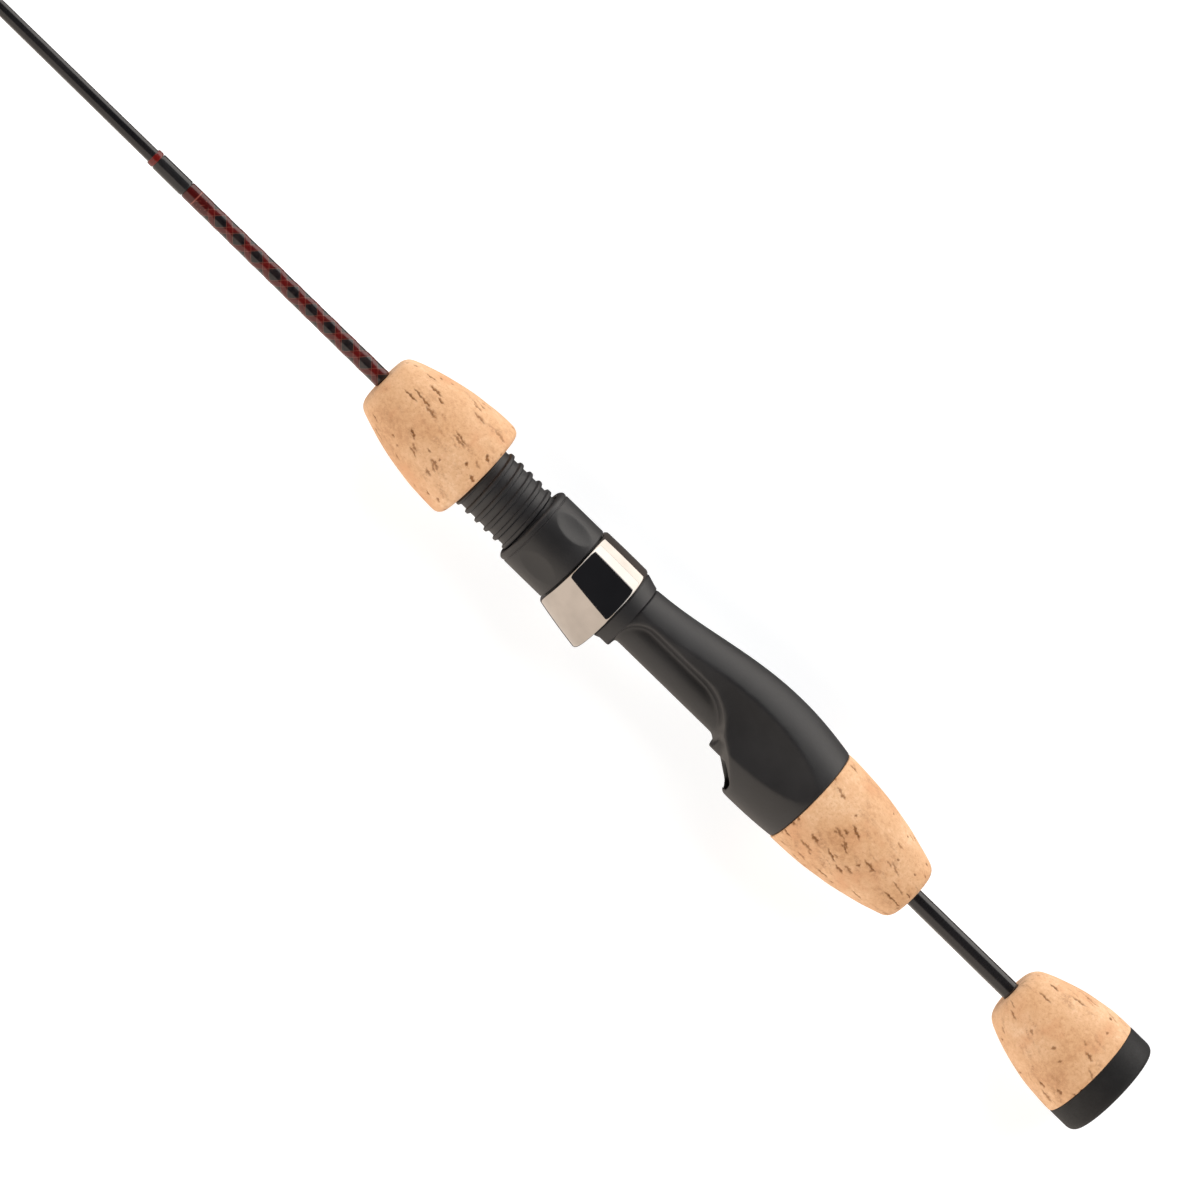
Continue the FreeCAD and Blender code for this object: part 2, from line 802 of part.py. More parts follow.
# Line guides
def turned_ring(body, name, height, low, high, half_width, edge=None):
    """A ring about an axis parallel to the rod at a height, with softened inner edges if edge is given."""
    sketch = new_sketch(body, name + "_section")
    left = "-(%s)" % half_width
    if edge:
        corners = [
            (left, "%s + %s + %s" % (height, low, edge)),
            (left, "%s + %s" % (height, high)),
            (half_width, "%s + %s" % (height, high)),
            (half_width, "%s + %s + %s" % (height, low, edge)),
            ("%s - %s" % (half_width, edge), "%s + %s" % (height, low)),
            ("%s + %s" % (left, edge), "%s + %s" % (height, low)),
        ]
        bows = {3: edge, 5: edge}
    else:
        corners = [
            (left, "%s + %s" % (height, low)),
            (left, "%s + %s" % (height, high)),
            (half_width, "%s + %s" % (height, high)),
            (half_width, "%s + %s" % (height, low)),
        ]
        bows = {}
    draw_outline(sketch, corners, bows)
    axis = sketch.addGeometry(
        Part.LineSegment(FreeCAD.Vector(-2, number(height), 0), FreeCAD.Vector(2, number(height), 0)), True
    )
    sketch.addConstraint(Sketcher.Constraint("Horizontal", axis))
    made = sketch.addConstraint(Sketcher.Constraint("DistanceY", -1, 1, axis, 1, number(height)))
    sketch.setExpression("Constraints[%d]" % made, bind(height))
    turned = body.newObject("PartDesign::Revolution", name + "_ring_turning")
    turned.Profile = sketch
    turned.ReferenceAxis = (sketch, ["Axis0"])
    turned.Angle = 360
    doc.recompute()
    return turned


def pad_section(body, name, corners, width, bows=None):
    """A plate of constant width, centred across the rod."""
    sketch = new_sketch(body, name + "_section")
    draw_outline(sketch, corners, bows)
    pad = body.newObject("PartDesign::Pad", name + "_pad")
    pad.Profile = sketch
    pad.Midplane = True
    pad.setExpression("Length", bind(width))
    doc.recompute()
    return pad


for step in ("one", "two", "three", "four", "five"):
    name = "guide_" + step
    station = name + "_station"
    bore = name + "_bore"
    height = name + "_height"
    hoop_low = "%s + ring_wall" % bore
    hoop_high = "%s + ring_wall + hoop_wall" % bore

    frame = new_body(name + "_frame", station)
    turned_ring(frame, name + "_hoop", height, hoop_low, hoop_high, "hoop_width/2")
    seat_height = bond_radius("%s + 4" % station)
    foot_end_height = bond_radius("%s + foot_length + 3" % station)
    strap_top = "%s - (%s) + 0.2" % (height, hoop_high)
    pad_section(
        frame,
        name + "_strap",
        [
            ("-strap_thickness/2", strap_top),
            ("-strap_thickness/2", seat_height + " + bend_radius"),
            ("-strap_thickness/2 + bend_radius", seat_height),
            ("foot_length + 3", foot_end_height),
            ("foot_length + 3", foot_end_height + " + foot_tip_thickness"),
            ("strap_thickness/2 + bend_radius", seat_height + " + strap_thickness"),
            ("strap_thickness/2", seat_height + " + bend_radius"),
            ("strap_thickness/2", strap_top),
        ],
        "foot_width",
        {1: "-bend_radius"},
    )

    ring = new_body(name + "_ring", station)
    insert_outside = hoop_low + " - glue_gap"
    turned_ring(ring, name + "_insert", height, bore, insert_outside, "ring_width/2", "ring_edge_radius")

    wrap_start = "%s + guide_wrap_start" % station
    sleeve = new_body(name + "_sleeve_form", wrap_start)
    turn_profile(
        sleeve,
        name + "_sleeve",
        [
            ("0", "0"),
            ("0", blank_radius(wrap_start) + " + guide_wrap_build"),
            ("guide_wrap_length", blank_radius(wrap_start + " + guide_wrap_length") + " + guide_wrap_build"),
            ("guide_wrap_length", "0"),
        ],
    )
    cover = doc.addObject("Part::Cone", name + "_cover_form")
    cover.Placement = FreeCAD.Placement(FreeCAD.Vector(), ALONG)
    cover.setExpression("Placement.Base.x", bind(wrap_start))
    cover.setExpression("Placement.Base.y", bind("%s + 0.1" % blank_radius(wrap_start)))
    cover.setExpression("Height", bind("guide_wrap_length - 1"))
    cover.setExpression("Radius1", bind("guide_wrap_cover"))
    cover.setExpression("Radius2", bind("guide_wrap_cover - 0.1"))
    wrap_form = combine("Part::MultiFuse", name + "_wrap_form", sleeve, [cover])
    core = new_body(name + "_core_form", wrap_start + " - 1")
    turn_profile(
        core,
        name + "_core",
        [
            ("0", "0"),
            ("0", bond_radius(wrap_start + " - 1")),
            ("guide_wrap_length + 2", bond_radius(wrap_start + " + guide_wrap_length + 1")),
            ("guide_wrap_length + 2", "0"),
        ],
    )
    foot_slot = block(
        name + "_foot_slot",
        wrap_start + " - 1",
        "%s + foot_length + 3 + glue_gap" % station,
        blank_radius(wrap_start) + " - 0.4",
        seat_height + " + strap_thickness + glue_gap",
        "foot_width/2 + glue_gap",
    )
    wrap_core = combine("Part::MultiFuse", name + "_wrap_core", core, [foot_slot])
    combine("Part::Cut", name + "_wrap", wrap_form, wrap_core)
    doc.recompute()

# Tip top: a metal tube over the blank's end that carries the last ring
tip_frame = new_body("tip_frame", "rod_length")
turn_profile(
    tip_frame,
    "tip_tube",
    [
        ("-tip_tube_length", bond_radius("rod_length - tip_tube_length")),
        ("-tip_tube_length", "tip_tube_radius"),
        ("0", "tip_tube_radius"),
        ("0.5", "tip_tube_radius - 0.5"),
        ("0.5", "0"),
        ("-0.9", "0"),
        ("-0.9", bond_radius("rod_length - 1")),
    ],
)
tip_low = "tip_ring_bore + ring_wall"
tip_high = "tip_ring_bore + ring_wall + hoop_wall"
turned_ring(tip_frame, "tip_hoop", "tip_ring_height", tip_low, tip_high, "hoop_width/2")
pad_section(
    tip_frame,
    "tip_strap",
    [
        ("-5", "tip_tube_radius - 0.2"),
        ("-hoop_width/2 - 0.3", "tip_ring_height - (%s) + 0.3" % tip_high),
        ("hoop_width/2 - 0.2", "tip_ring_height - (%s) + 0.3" % tip_high),
        ("hoop_width/2 - 0.2", "tip_tube_radius - 0.2"),
    ],
    "strap_width/2",
)
tip_ring = new_body("tip_ring", "rod_length")
turned_ring(
    tip_ring,
    "tip_insert",
    "tip_ring_height",
    "tip_ring_bore",
    tip_low + " - glue_gap",
    "ring_width/2",
    "ring_edge_radius",
)
tip_wrap = new_body("tip_wrap", "rod_length - tip_tube_length - tip_wrap_length")
tip_wrap_station = "rod_length - tip_tube_length - tip_wrap_length"
turn_profile(
    tip_wrap,
    "tip_wrap",
    [
        ("0", bond_radius(tip_wrap_station)),
        ("0", blank_radius(tip_wrap_station) + " + 0.15"),
        ("1", blank_radius(tip_wrap_station) + " + guide_wrap_build"),
        ("tip_wrap_length - glue_gap", "tip_tube_radius"),
        ("tip_wrap_length - glue_gap", bond_radius("rod_length - tip_tube_length")),
    ],
)
doc.recompute()

# Export
NODES = [
    "blank",
    "butt_cap",
    "butt_cork",
    "rear_grip_cork",
    "seat_body",
    "arbor_rear",
    "arbor_middle",
    "arbor_front",
    "foregrip_cork",
    "diamond_wrap",
    "black_wrap",
    "trim_band",
    "hood_shell",
    "hood_liner",
    "lock_nut",
    "tip_frame",
    "tip_ring",
    "tip_wrap",
]
for step in ("one", "two", "three", "four", "five"):
    for part in ("frame", "ring", "wrap"):
        NODES.append("guide_%s_%s" % (step, part))

for item in doc.Objects:
    if "Invalid" in item.State or "Error" in item.State:
        raise RuntimeError(item.Name + " did not build")
os.makedirs("parts", exist_ok=True)
for name in NODES:
    item = doc.getObject(name)
    shape = item.Shape
    if shape.isNull() or not shape.isValid():
        raise RuntimeError(name + " has no valid shape")
    if len(shape.Solids) != 1:
        raise RuntimeError("%s has %d solids" % (name, len(shape.Solids)))
    shape.exportStep("parts/%s.step" % name)
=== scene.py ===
import math
import random

import bmesh
import bpy
import numpy as np
from mathutils import Matrix, Vector


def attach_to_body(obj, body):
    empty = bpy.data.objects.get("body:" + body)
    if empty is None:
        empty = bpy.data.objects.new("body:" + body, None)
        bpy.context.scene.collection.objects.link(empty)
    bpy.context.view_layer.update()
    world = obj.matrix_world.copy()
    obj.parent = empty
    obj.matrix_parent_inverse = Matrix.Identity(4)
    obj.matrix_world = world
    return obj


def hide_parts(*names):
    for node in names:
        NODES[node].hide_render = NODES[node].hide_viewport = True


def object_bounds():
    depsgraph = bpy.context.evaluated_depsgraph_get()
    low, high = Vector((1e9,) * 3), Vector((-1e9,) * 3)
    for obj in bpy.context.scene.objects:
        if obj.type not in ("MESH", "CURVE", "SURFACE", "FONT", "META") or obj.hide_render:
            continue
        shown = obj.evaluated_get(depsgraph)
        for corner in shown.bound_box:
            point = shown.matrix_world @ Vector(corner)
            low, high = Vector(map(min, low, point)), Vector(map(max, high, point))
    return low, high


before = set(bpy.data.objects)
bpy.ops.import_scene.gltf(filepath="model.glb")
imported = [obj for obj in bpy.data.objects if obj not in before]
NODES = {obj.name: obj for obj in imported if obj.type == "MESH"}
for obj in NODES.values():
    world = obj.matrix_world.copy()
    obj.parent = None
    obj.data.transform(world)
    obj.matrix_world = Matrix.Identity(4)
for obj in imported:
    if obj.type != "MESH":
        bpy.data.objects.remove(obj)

cad_low, cad_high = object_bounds()
MM = 0.001
TURN = 2 * math.pi

# ---------------------------------------------------------------- sizes, in mm, along and about the rod
ROD_LENGTH = 711.2
BLANK_BUTT, BLANK_TIP = 2.3, 0.75
CAP_FRONT, CAP_RADIUS = 7.28, 13.0
DIAMOND_REAR, DIAMOND_FRONT, BLACK_FRONT, TRIM_FRONT = 228.7, 289.3, 298.2, 299.8
THREAD_SPACING = 0.2  # of the wound thread
GUIDE_STATIONS = {"one": 385.0, "two": 460.0, "three": 530.0, "four": 595.0, "five": 655.0}

SCREW_PITCH, SCREW_START, SCREW_WIDTH = 2.85, 168.6, 1.3
SCREW_ROOT, SCREW_DEPTH, SCREW_RUNOUT = 7.6, 0.64, 198.4
BARREL_REAR, BARREL_FRONT = 152.45, 198.62
SLEEVE_RADIUS, SLEEVE_TAPER, SLEEVE_FRONT = 8.3, 166.5, 167.3
BED_HEIGHT, BED_FRONT = 7.4, 166.9
KEYWAY_REAR, KEYWAY_FRONT, KEYWAY_FLOOR, KEYWAY_HALF = 156.5, 187.5, 7.1, 1.25
SEAT_BORE = 4.2
PALM_CUT = 153.1

HOOD_REAR, HOOD_MIDDLE, HOOD_FRONT = 156.4, 163.0, 169.7
HOOD_BACK = (10.6, 10.65, 10.55)  # reach of the shell at those three stations, on the back side,
HOOD_REEL = (13.1, 12.1, 10.8)  # on the reel side
HOOD_DEEP = (11.4, 11.0, 10.6)  # and up and down
HOOD_WALL, HOOD_LIP, HOOD_NOSE, HOOD_NOSE_BORE = 0.9, 0.85, 0.75, 9.02

NUT_REAR, NUT_FRONT, NUT_RADIUS = 169.95, 183.1, 10.0
NUT_BORE, NUT_THROAT, NUT_RECESS = 8.45, 9.1, 9.4
NUT_RECESS_REAR, NUT_RECESS_FRONT, NUT_GROOVE = 171.1, 173.4, 181.55
DIMPLES, DIMPLE_MIDDLE, DIMPLE_BALL, DIMPLE_DEPTH = 5, 175.8, 20.0, 0.55

# a guide's winding, ahead of the guide's station, and the foot under it
GUIDE_WRAP_REAR, GUIDE_WRAP_FRONT, FOOT_FRONT = 3.0, 15.0, 13.0
FOOT_TOP, FOOT_TAPER, FOOT_HALF = 0.72, 0.45, 0.75


def blank_radius(x):
    return BLANK_BUTT - (BLANK_BUTT - BLANK_TIP) * x / ROD_LENGTH


# ---------------------------------------------------------------- node helpers
class Shader:
    """A material's node tree with short ways to add what it needs."""

    def __init__(self, name, **fixed):
        self.material = bpy.data.materials.new(name)
        self.material.use_nodes = True
        self.tree = self.material.node_tree
        self.surface = next(n for n in self.tree.nodes if n.type == "BSDF_PRINCIPLED")
        self.place = self.tree.nodes.new("ShaderNodeTexCoord").outputs["Object"]
        for socket, value in fixed.items():
            self.surface.inputs[socket.replace("_", " ")].default_value = value

    def feed(self, socket, value):
        """Links a socket to another or sets it; a colour of three parts gets its opacity."""
        if hasattr(value, "is_linked"):
            self.tree.links.new(value, socket)
        elif isinstance(value, tuple):
            socket.default_value = (*value, 1)
        else:
            socket.default_value = value

    def math(self, operation, *values):
        node = self.tree.nodes.new("ShaderNodeMath")
        node.operation = operation
        for socket, value in zip(node.inputs, values):
            self.feed(socket, value)
        return node.outputs[0]

    def blend(self, first, first_part, second, second_part):
        """The sum of two values, each by its part."""
        parts = (self.math("MULTIPLY", first, first_part), self.math("MULTIPLY", second, second_part))
        return self.math("ADD", *parts)

    def scaled(self, x, y, z):
        node = self.tree.nodes.new("ShaderNodeMapping")
        self.feed(node.inputs["Vector"], self.place)
        node.inputs["Scale"].default_value = (x, y, z)
        return node.outputs[0]

    def noise(self, scale, detail=2.0, rough=0.5, vector=None):
        node = self.tree.nodes.new("ShaderNodeTexNoise")
        self.feed(node.inputs["Vector"], vector if vector is not None else self.place)
        node.inputs["Scale"].default_value = scale
        node.inputs["Detail"].default_value = detail
        node.inputs["Roughness"].default_value = rough
        return node.outputs["Fac"]

    def cells(self, scale, vector):
        node = self.tree.nodes.new("ShaderNodeTexVoronoi")
        self.feed(node.inputs["Vector"], vector)
        node.inputs["Scale"].default_value = scale
        return node.outputs["Distance"]

    def wave(self, rate):
        """A sine along the rod, with its rate in radians a metre."""
        split = self.tree.nodes.new("ShaderNodeSeparateXYZ")
        self.feed(split.inputs[0], self.place)
        return self.math("SINE", self.math("MULTIPLY", split.outputs[0], rate))

    def remap(self, value, low, high, to_low=0.0, to_high=1.0):
        node = self.tree.nodes.new("ShaderNodeMapRange")
        self.feed(node.inputs["Value"], value)
        node.inputs["From Min"].default_value = low
        node.inputs["From Max"].default_value = high
        node.inputs["To Min"].default_value = to_low
        node.inputs["To Max"].default_value = to_high
        return node.outputs[0]

    def ramp(self, value, *stops):
        node = self.tree.nodes.new("ShaderNodeValToRGB")
        self.feed(node.inputs["Fac"], value)
        bar = node.color_ramp.elements
        while len(bar) < len(stops):
            bar.new(0.5)
        for element, (position, colour) in zip(bar, stops):
            element.position = position
            element.color = (*colour, 1)
        return node.outputs[0]

    def mix(self, share, first, second):
        node = self.tree.nodes.new("ShaderNodeMix")
        node.data_type = "RGBA"
        for socket, value in zip((0, 6, 7), (share, first, second)):
            self.feed(node.inputs[socket], value)
        return node.outputs[2]

    def attribute(self, name):
        node = self.tree.nodes.new("ShaderNodeAttribute")
        node.attribute_name = name
        return node.outputs["Fac"]

    def bump(self, height, strength, distance):
        node = self.tree.nodes.new("ShaderNodeBump")
        self.feed(node.inputs["Height"], height)
        node.inputs["Strength"].default_value = strength
        node.inputs["Distance"].default_value = distance
        self.feed(self.surface.inputs["Normal"], node.outputs[0])

    def colour(self, value):
        self.feed(self.surface.inputs["Base Color"], value)

    def rough(self, value):
        self.feed(self.surface.inputs["Roughness"], value)


def srgb(red, green, blue):
    """A linear colour from the usual 0 to 255 numbers."""

    def line(v):
        v = v / 255
        return v / 12.92 if v <= 0.04045 else ((v + 0.055) / 1.055) ** 2.4

    return (line(red), line(green), line(blue))


# ---------------------------------------------------------------- materials
def cork_material():
    s = Shader("cork")
    broad = s.noise(90, 3, 0.55)
    fine = s.noise(1100, 5, 0.65)
    speckle = s.noise(2600, 3, 0.6)
    grain = s.cells(1300, s.scaled(0.6, 1, 1))
    base = s.ramp(
        s.blend(broad, 0.55, fine, 0.45),
        (0.34, srgb(190, 141, 99)),
        (0.46, srgb(208, 162, 120)),
        (0.56, srgb(217, 174, 134)),
        (0.68, srgb(228, 191, 154)),
    )
    warm = s.mix(s.remap(s.noise(150, 2), 0.52, 0.74, 0.0, 0.7), base, srgb(206, 151, 109))
    specked = s.mix(s.remap(grain, 0.0, 0.32, 0.34, 0.0), warm, srgb(172, 116, 74))
    dusted = s.mix(s.remap(speckle, 0.56, 0.70, 0.0, 0.35), specked, srgb(168, 112, 70))
    fibre = s.math("MULTIPLY", s.attribute("vein"), s.remap(s.noise(1700, 4, 0.7), 0.38, 0.62))
    veined = s.mix(s.math("MULTIPLY", fibre, 0.75), dusted, srgb(140, 88, 48))
    pit = s.attribute("pit")
    pit_colour = s.mix(s.remap(speckle, 0.4, 0.6), srgb(110, 68, 36), srgb(150, 101, 56))
    s.colour(s.mix(pit, veined, pit_colour))
    s.rough(s.remap(fine, 0.3, 0.7, 0.62, 0.78))
    s.bump(s.math("SUBTRACT", s.blend(fine, 0.7, grain, 0.5), s.math("MULTIPLY", pit, 0.5)), 0.4, 0.00012)
    return s.material


def moulded_material(name, tint, roughness):
    """Matte moulded plastic with a fine spark-eroded grain and faint wear."""
    s = Shader(name, Specular_IOR_Level=0.72)
    grain = s.noise(2600, 3, 0.6)
    cloud = s.noise(60, 3, 0.6)
    dark = tuple(c * 0.82 for c in tint)
    light = tuple(c * 1.22 + 0.001 for c in tint)
    s.colour(s.mix(s.remap(cloud, 0.35, 0.65), dark, light))
    wear = s.math("ADD", cloud, s.math("MULTIPLY", grain, 0.5))
    s.rough(s.remap(wear, 0.5, 1.0, roughness - 0.05, roughness + 0.06))
    s.bump(grain, 0.25, 0.00005)
    return s.material


def rubber_material():
    s = Shader("rubber", Specular_IOR_Level=0.4)
    grain = s.noise(2200, 4, 0.65)
    dust = s.noise(120, 4, 0.65)
    s.colour(s.mix(s.remap(dust, 0.45, 0.75), (0.010, 0.010, 0.0106), (0.019, 0.0186, 0.0188)))
    s.rough(s.remap(grain, 0.3, 0.7, 0.56, 0.70))
    s.bump(grain, 0.35, 0.00006)
    return s.material


def blank_material():
    """Black lacquered blank: a dark graphite core with faint rings of wrapping tape under a clear coat."""
    s = Shader("blank", Specular_IOR_Level=0.15, Coat_Weight=1.0, Coat_Roughness=0.05, Coat_IOR=1.5)
    wave = s.wave(4200.0)
    cloud = s.noise(300, 3, 0.6, s.scaled(0.15, 1, 1))
    s.colour(s.mix(s.remap(cloud, 0.35, 0.65), (0.006, 0.006, 0.007), (0.014, 0.013, 0.014)))
    s.rough(s.remap(wave, -1, 1, 0.26, 0.34))
    s.bump(wave, 0.08, 0.00002)
    return s.material


def metal_material():
    """Polished dark nickel with very fine turning marks and a few faint rubs."""
    s = Shader("hood_metal", Metallic=1.0)
    fine = s.noise(260, 4, 0.6, s.scaled(14, 1, 1))
    cloud = s.noise(70, 3, 0.6)
    s.colour(s.mix(s.remap(cloud, 0.4, 0.62), (0.50, 0.47, 0.44), (0.60, 0.56, 0.525)))
    s.rough(s.remap(s.blend(fine, 0.6, cloud, 0.4), 0.35, 0.65, 0.035, 0.07))
    s.bump(fine, 0.03, 0.00002)
    return s.material


def steel_material():
    s = Shader("guide_steel", Metallic=1.0)
    fine = s.noise(900, 4, 0.6, s.scaled(3, 1, 1))
    s.colour(s.mix(s.remap(fine, 0.35, 0.65), (0.10, 0.10, 0.105), (0.17, 0.168, 0.17)))
    s.rough(s.remap(fine, 0.3, 0.7, 0.22, 0.34))
    s.bump(fine, 0.1, 0.00003)
    return s.material


def ceramic_material():
    s = Shader("ring_ceramic", Coat_Weight=0.6, Coat_Roughness=0.05)
    cloud = s.noise(1500, 3, 0.6)
    s.colour(s.mix(s.remap(cloud, 0.35, 0.65), (0.045, 0.047, 0.05), (0.075, 0.078, 0.08)))
    s.rough(s.remap(cloud, 0.35, 0.65, 0.12, 0.2))
    s.bump(cloud, 0.05, 0.00002)
    return s.material


def thread_material(name, dark, light):
    """Wound thread under a clear finish, with painted shade in the grooves between its turns."""
    s = Shader(name, Specular_IOR_Level=0.15, Coat_Weight=1.0, Coat_Roughness=0.04, Coat_IOR=1.5)
    wave = s.wave(TURN / 0.00018)
    cloud = s.noise(700, 3, 0.6)
    # Painted shade: the colour is darker in the groove between turns and lighter on each turn's crest, in
    # step with the bump; the cloud adds random tone.
    share = s.math("ADD", s.remap(wave, -1, 1, 0.0, 0.6), s.remap(cloud, 0.3, 0.7, 0.0, 0.4))
    s.colour(s.mix(share, dark, light))
    s.rough(s.remap(wave, -1, 1, 0.34, 0.5))
    s.bump(wave, 0.3, 0.00003)
    return s.material


def diamond_material():
    """Red cross-wound thread over a black ground, with fine pale edge threads and painted shade between the
    red strands, under a clear finish.
    """
    s = Shader("diamond_thread", Specular_IOR_Level=0.15, Coat_Weight=1.0, Coat_Roughness=0.04, Coat_IOR=1.5)
    cloud = s.noise(800, 3, 0.6)
    strand_shade = s.attribute("strand_shade")
    black = s.mix(s.remap(cloud, 0.35, 0.65), (0.006, 0.005, 0.006), (0.020, 0.014, 0.014))
    # Painted shade: the red is darker between strands and lighter on each strand's crest.
    red = s.mix(strand_shade, srgb(50, 7, 6), srgb(94, 17, 15))
    crossed = s.mix(s.attribute("red"), black, red)
    s.colour(s.mix(s.attribute("pale"), crossed, srgb(150, 84, 72)))
    s.rough(s.remap(strand_shade, 0, 1, 0.34, 0.46))
    return s.material


def foam_material():
    s = Shader("arbor_foam")
    grain = s.noise(1400, 4, 0.7)
    s.colour(s.mix(s.remap(grain, 0.35, 0.65), srgb(176, 170, 150), srgb(206, 201, 184)))
    s.rough(s.remap(grain, 0.3, 0.7, 0.75, 0.9))
    s.bump(grain, 0.4, 0.0001)
    return s.material


CORK = cork_material()
SEAT = moulded_material("seat_plastic", (0.0138, 0.0138, 0.0150), 0.52)
NUT = moulded_material("nut_plastic", (0.0138, 0.0138, 0.0150), 0.48)
LINER = moulded_material("liner_plastic", (0.0120, 0.0120, 0.0132), 0.48)
RUBBER = rubber_material()
BLANK = blank_material()
METAL = metal_material()
STEEL = steel_material()
CERAMIC = ceramic_material()
BLACK_THREAD = thread_material("black_thread", (0.006, 0.006, 0.007), (0.020, 0.019, 0.020))
RED_THREAD = thread_material("red_thread", srgb(66, 8, 6), srgb(124, 24, 18))
DIAMOND = diamond_material()
FOAM = foam_material()

# The first ending that a node's name has decides its material.
PAINT = (
    ("diamond_wrap", DIAMOND),
    ("trim_band", RED_THREAD),
    ("_wrap", BLACK_THREAD),
    ("_ring", CERAMIC),
    ("_frame", STEEL),
    ("arbor_rear", FOAM),
    ("arbor_middle", FOAM),
    ("arbor_front", FOAM),
    ("_cork", CORK),
    ("blank", BLANK),
    ("butt_cap", RUBBER),
    ("hood_shell", METAL),
    ("hood_liner", LINER),
    ("lock_nut", NUT),
    ("seat_body", SEAT),
)
for name, node in NODES.items():
    material = next(material for ending, material in PAINT if name.endswith(ending))
    node.data.materials.clear()
    node.data.materials.append(material)


# ---------------------------------------------------------------- mesh helpers
def attach(piece, body, replaced):
    """Puts a piece on its body; replaced lists the CAD nodes it stands for."""
    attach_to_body(piece, body)
    if replaced:
        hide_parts(*replaced)


def smooth_shaded(mesh):
    mesh.polygons.foreach_set("use_smooth", np.ones(len(mesh.polygons), bool))


def add_mesh(name, points, faces, material, body, replaced):
    mesh = bpy.data.meshes.new(name)
    mesh.from_pydata([tuple(p) for p in points], [], faces)
    work = bmesh.new()
    work.from_mesh(mesh)
    bmesh.ops.recalc_face_normals(work, faces=work.faces[:])
    work.to_mesh(mesh)
    work.free()
    smooth_shaded(mesh)
    mesh.materials.append(material)
    piece = bpy.data.objects.new(name, mesh)
    bpy.context.scene.collection.objects.link(piece)
    attach(piece, body, replaced)
    return piece


def grid_faces(rows, columns, closed=True):
    """Quads of rings of points, each joined to the next and, on a closed skin, the last to the first."""
    faces = []
    for row in range(rows if closed else rows - 1):
        here, there = row * columns, (row + 1) % rows * columns
        for column in range(columns):
            after = (column + 1) % columns
            faces.append((here + column, here + after, there + after, there + column))
    return faces


def ring_angles(columns):
    return np.linspace(0, TURN, columns, endpoint=False)


def ring_grid(stations, columns):
    """The station and the angle about the rod of every point of a turned skin."""
    return np.meshgrid(stations, ring_angles(columns), indexing="ij")


def ring_points(stations, radii, columns):
    """Points in metres of a turned skin. Stations and radii are in mm; radii may vary round each ring."""
    x, angle = ring_grid(np.asarray(stations, float), columns)
    radii = np.asarray(radii, float)
    if radii.ndim == 1:
        radii = radii[:, None]
    return (np.stack([x, radii * np.cos(angle), radii * np.sin(angle)], -1) * MM).reshape(-1, 3)


def turned_skin(node, stations, radii, columns, material):
    """A skin of rings on the rod, standing for a CAD node."""
    points = ring_points(stations, radii, columns)
    return add_mesh(node + "_skin", points, grid_faces(len(stations), columns), material, "rod", [node])


def smoothstep(low, high, value):
    t = np.clip((value - low) / (high - low), 0, 1)
    return t * t * (3 - 2 * t)


def ramp_up(start, length, value):
    """0 before start, 1 from start + length on, a straight line between."""
    return np.clip((value - start) / length, 0, 1)


def hill(middle, width, value):
    return np.exp(-(((value - middle) / width) ** 2))


def resample(profile, step):
    """Points every step or so along a polyline of (station, radius)."""
    out = [profile[0]]
    for (x0, r0), (x1, r1) in zip(profile, profile[1:]):
        count = max(1, int(math.ceil(math.hypot(x1 - x0, r1 - r0) / step)))
        for k in range(1, count + 1):
            out.append((x0 + (x1 - x0) * k / count, r0 + (r1 - r0) * k / count))
    return np.array(out)


def set_attribute(piece, name, values):
    layer = piece.data.attributes.new(name, "FLOAT", "POINT")
    layer.data.foreach_set("value", np.asarray(values, np.float32).ravel())


def bowed(start, stop, radius, count=24):
    """Points of a crowned outline between two (station, radius) points."""
    a, b = Vector(start), Vector(stop)
    chord = b - a
    rise = radius - math.sqrt(radius**2 - (chord.length / 2) ** 2)
    centre = (a + b) / 2 - Vector((-chord.y, chord.x)).normalized() * (radius - rise)
    first = math.atan2(a.y - centre.y, a.x - centre.x)
    last = math.atan2(b.y - centre.y, b.x - centre.x)
    turns = np.linspace(first, last, count)
    return [(centre.x + radius * math.cos(t), centre.y + radius * math.sin(t)) for t in turns]


def rounded(profile, corner, size, count=9):
    """Rounds one corner of a polyline of (station, radius) points, dropping the points the round swallows."""
    point = Vector(profile[corner])

    def cut_back(side):
        kept = list(side)
        last = point
        while kept:
            step = (Vector(kept[0]) - point).length
            if step >= size:
                share = (size - (last - point).length) / max((Vector(kept[0]) - last).length, 1e-9)
                return last + (Vector(kept[0]) - last) * share, kept
            last = Vector(kept.pop(0))
        return last, kept

    before, head = cut_back(profile[corner - 1::-1])
    after, tail = cut_back(profile[corner + 1:])
    steps = np.linspace(0, 1, count)
    bend = [tuple(before * (1 - t) ** 2 + point * 2 * t * (1 - t) + after * t**2) for t in steps]
    return head[::-1] + bend + tail


# ---------------------------------------------------------------- cork
GRAIN_LEAN = 0.28  # radians off the rod's axis
PIT_LENGTHS = (0.7, 1.0, 1.5, 2.2, 3.0, 4.2)
PIT_DEPTH = 0.22


def cork_outline(rear, front, crown, face, rear_round, front_round):
    """A crowned side from its rear to its front (station, radius), closed down to the blank at both ends.

    Where the rear face stands behind the crowned side, a straight run joins the two.
    """
    start = [(face, blank_radius(face))]
    if face < rear[0]:
        start.append((face, rear[1]))
    outline = start + bowed(rear, front, crown) + [(front[0], blank_radius(front[0]))]
    outline = rounded(outline, len(outline) - 2, front_round)
    return rounded(outline, 1, rear_round)


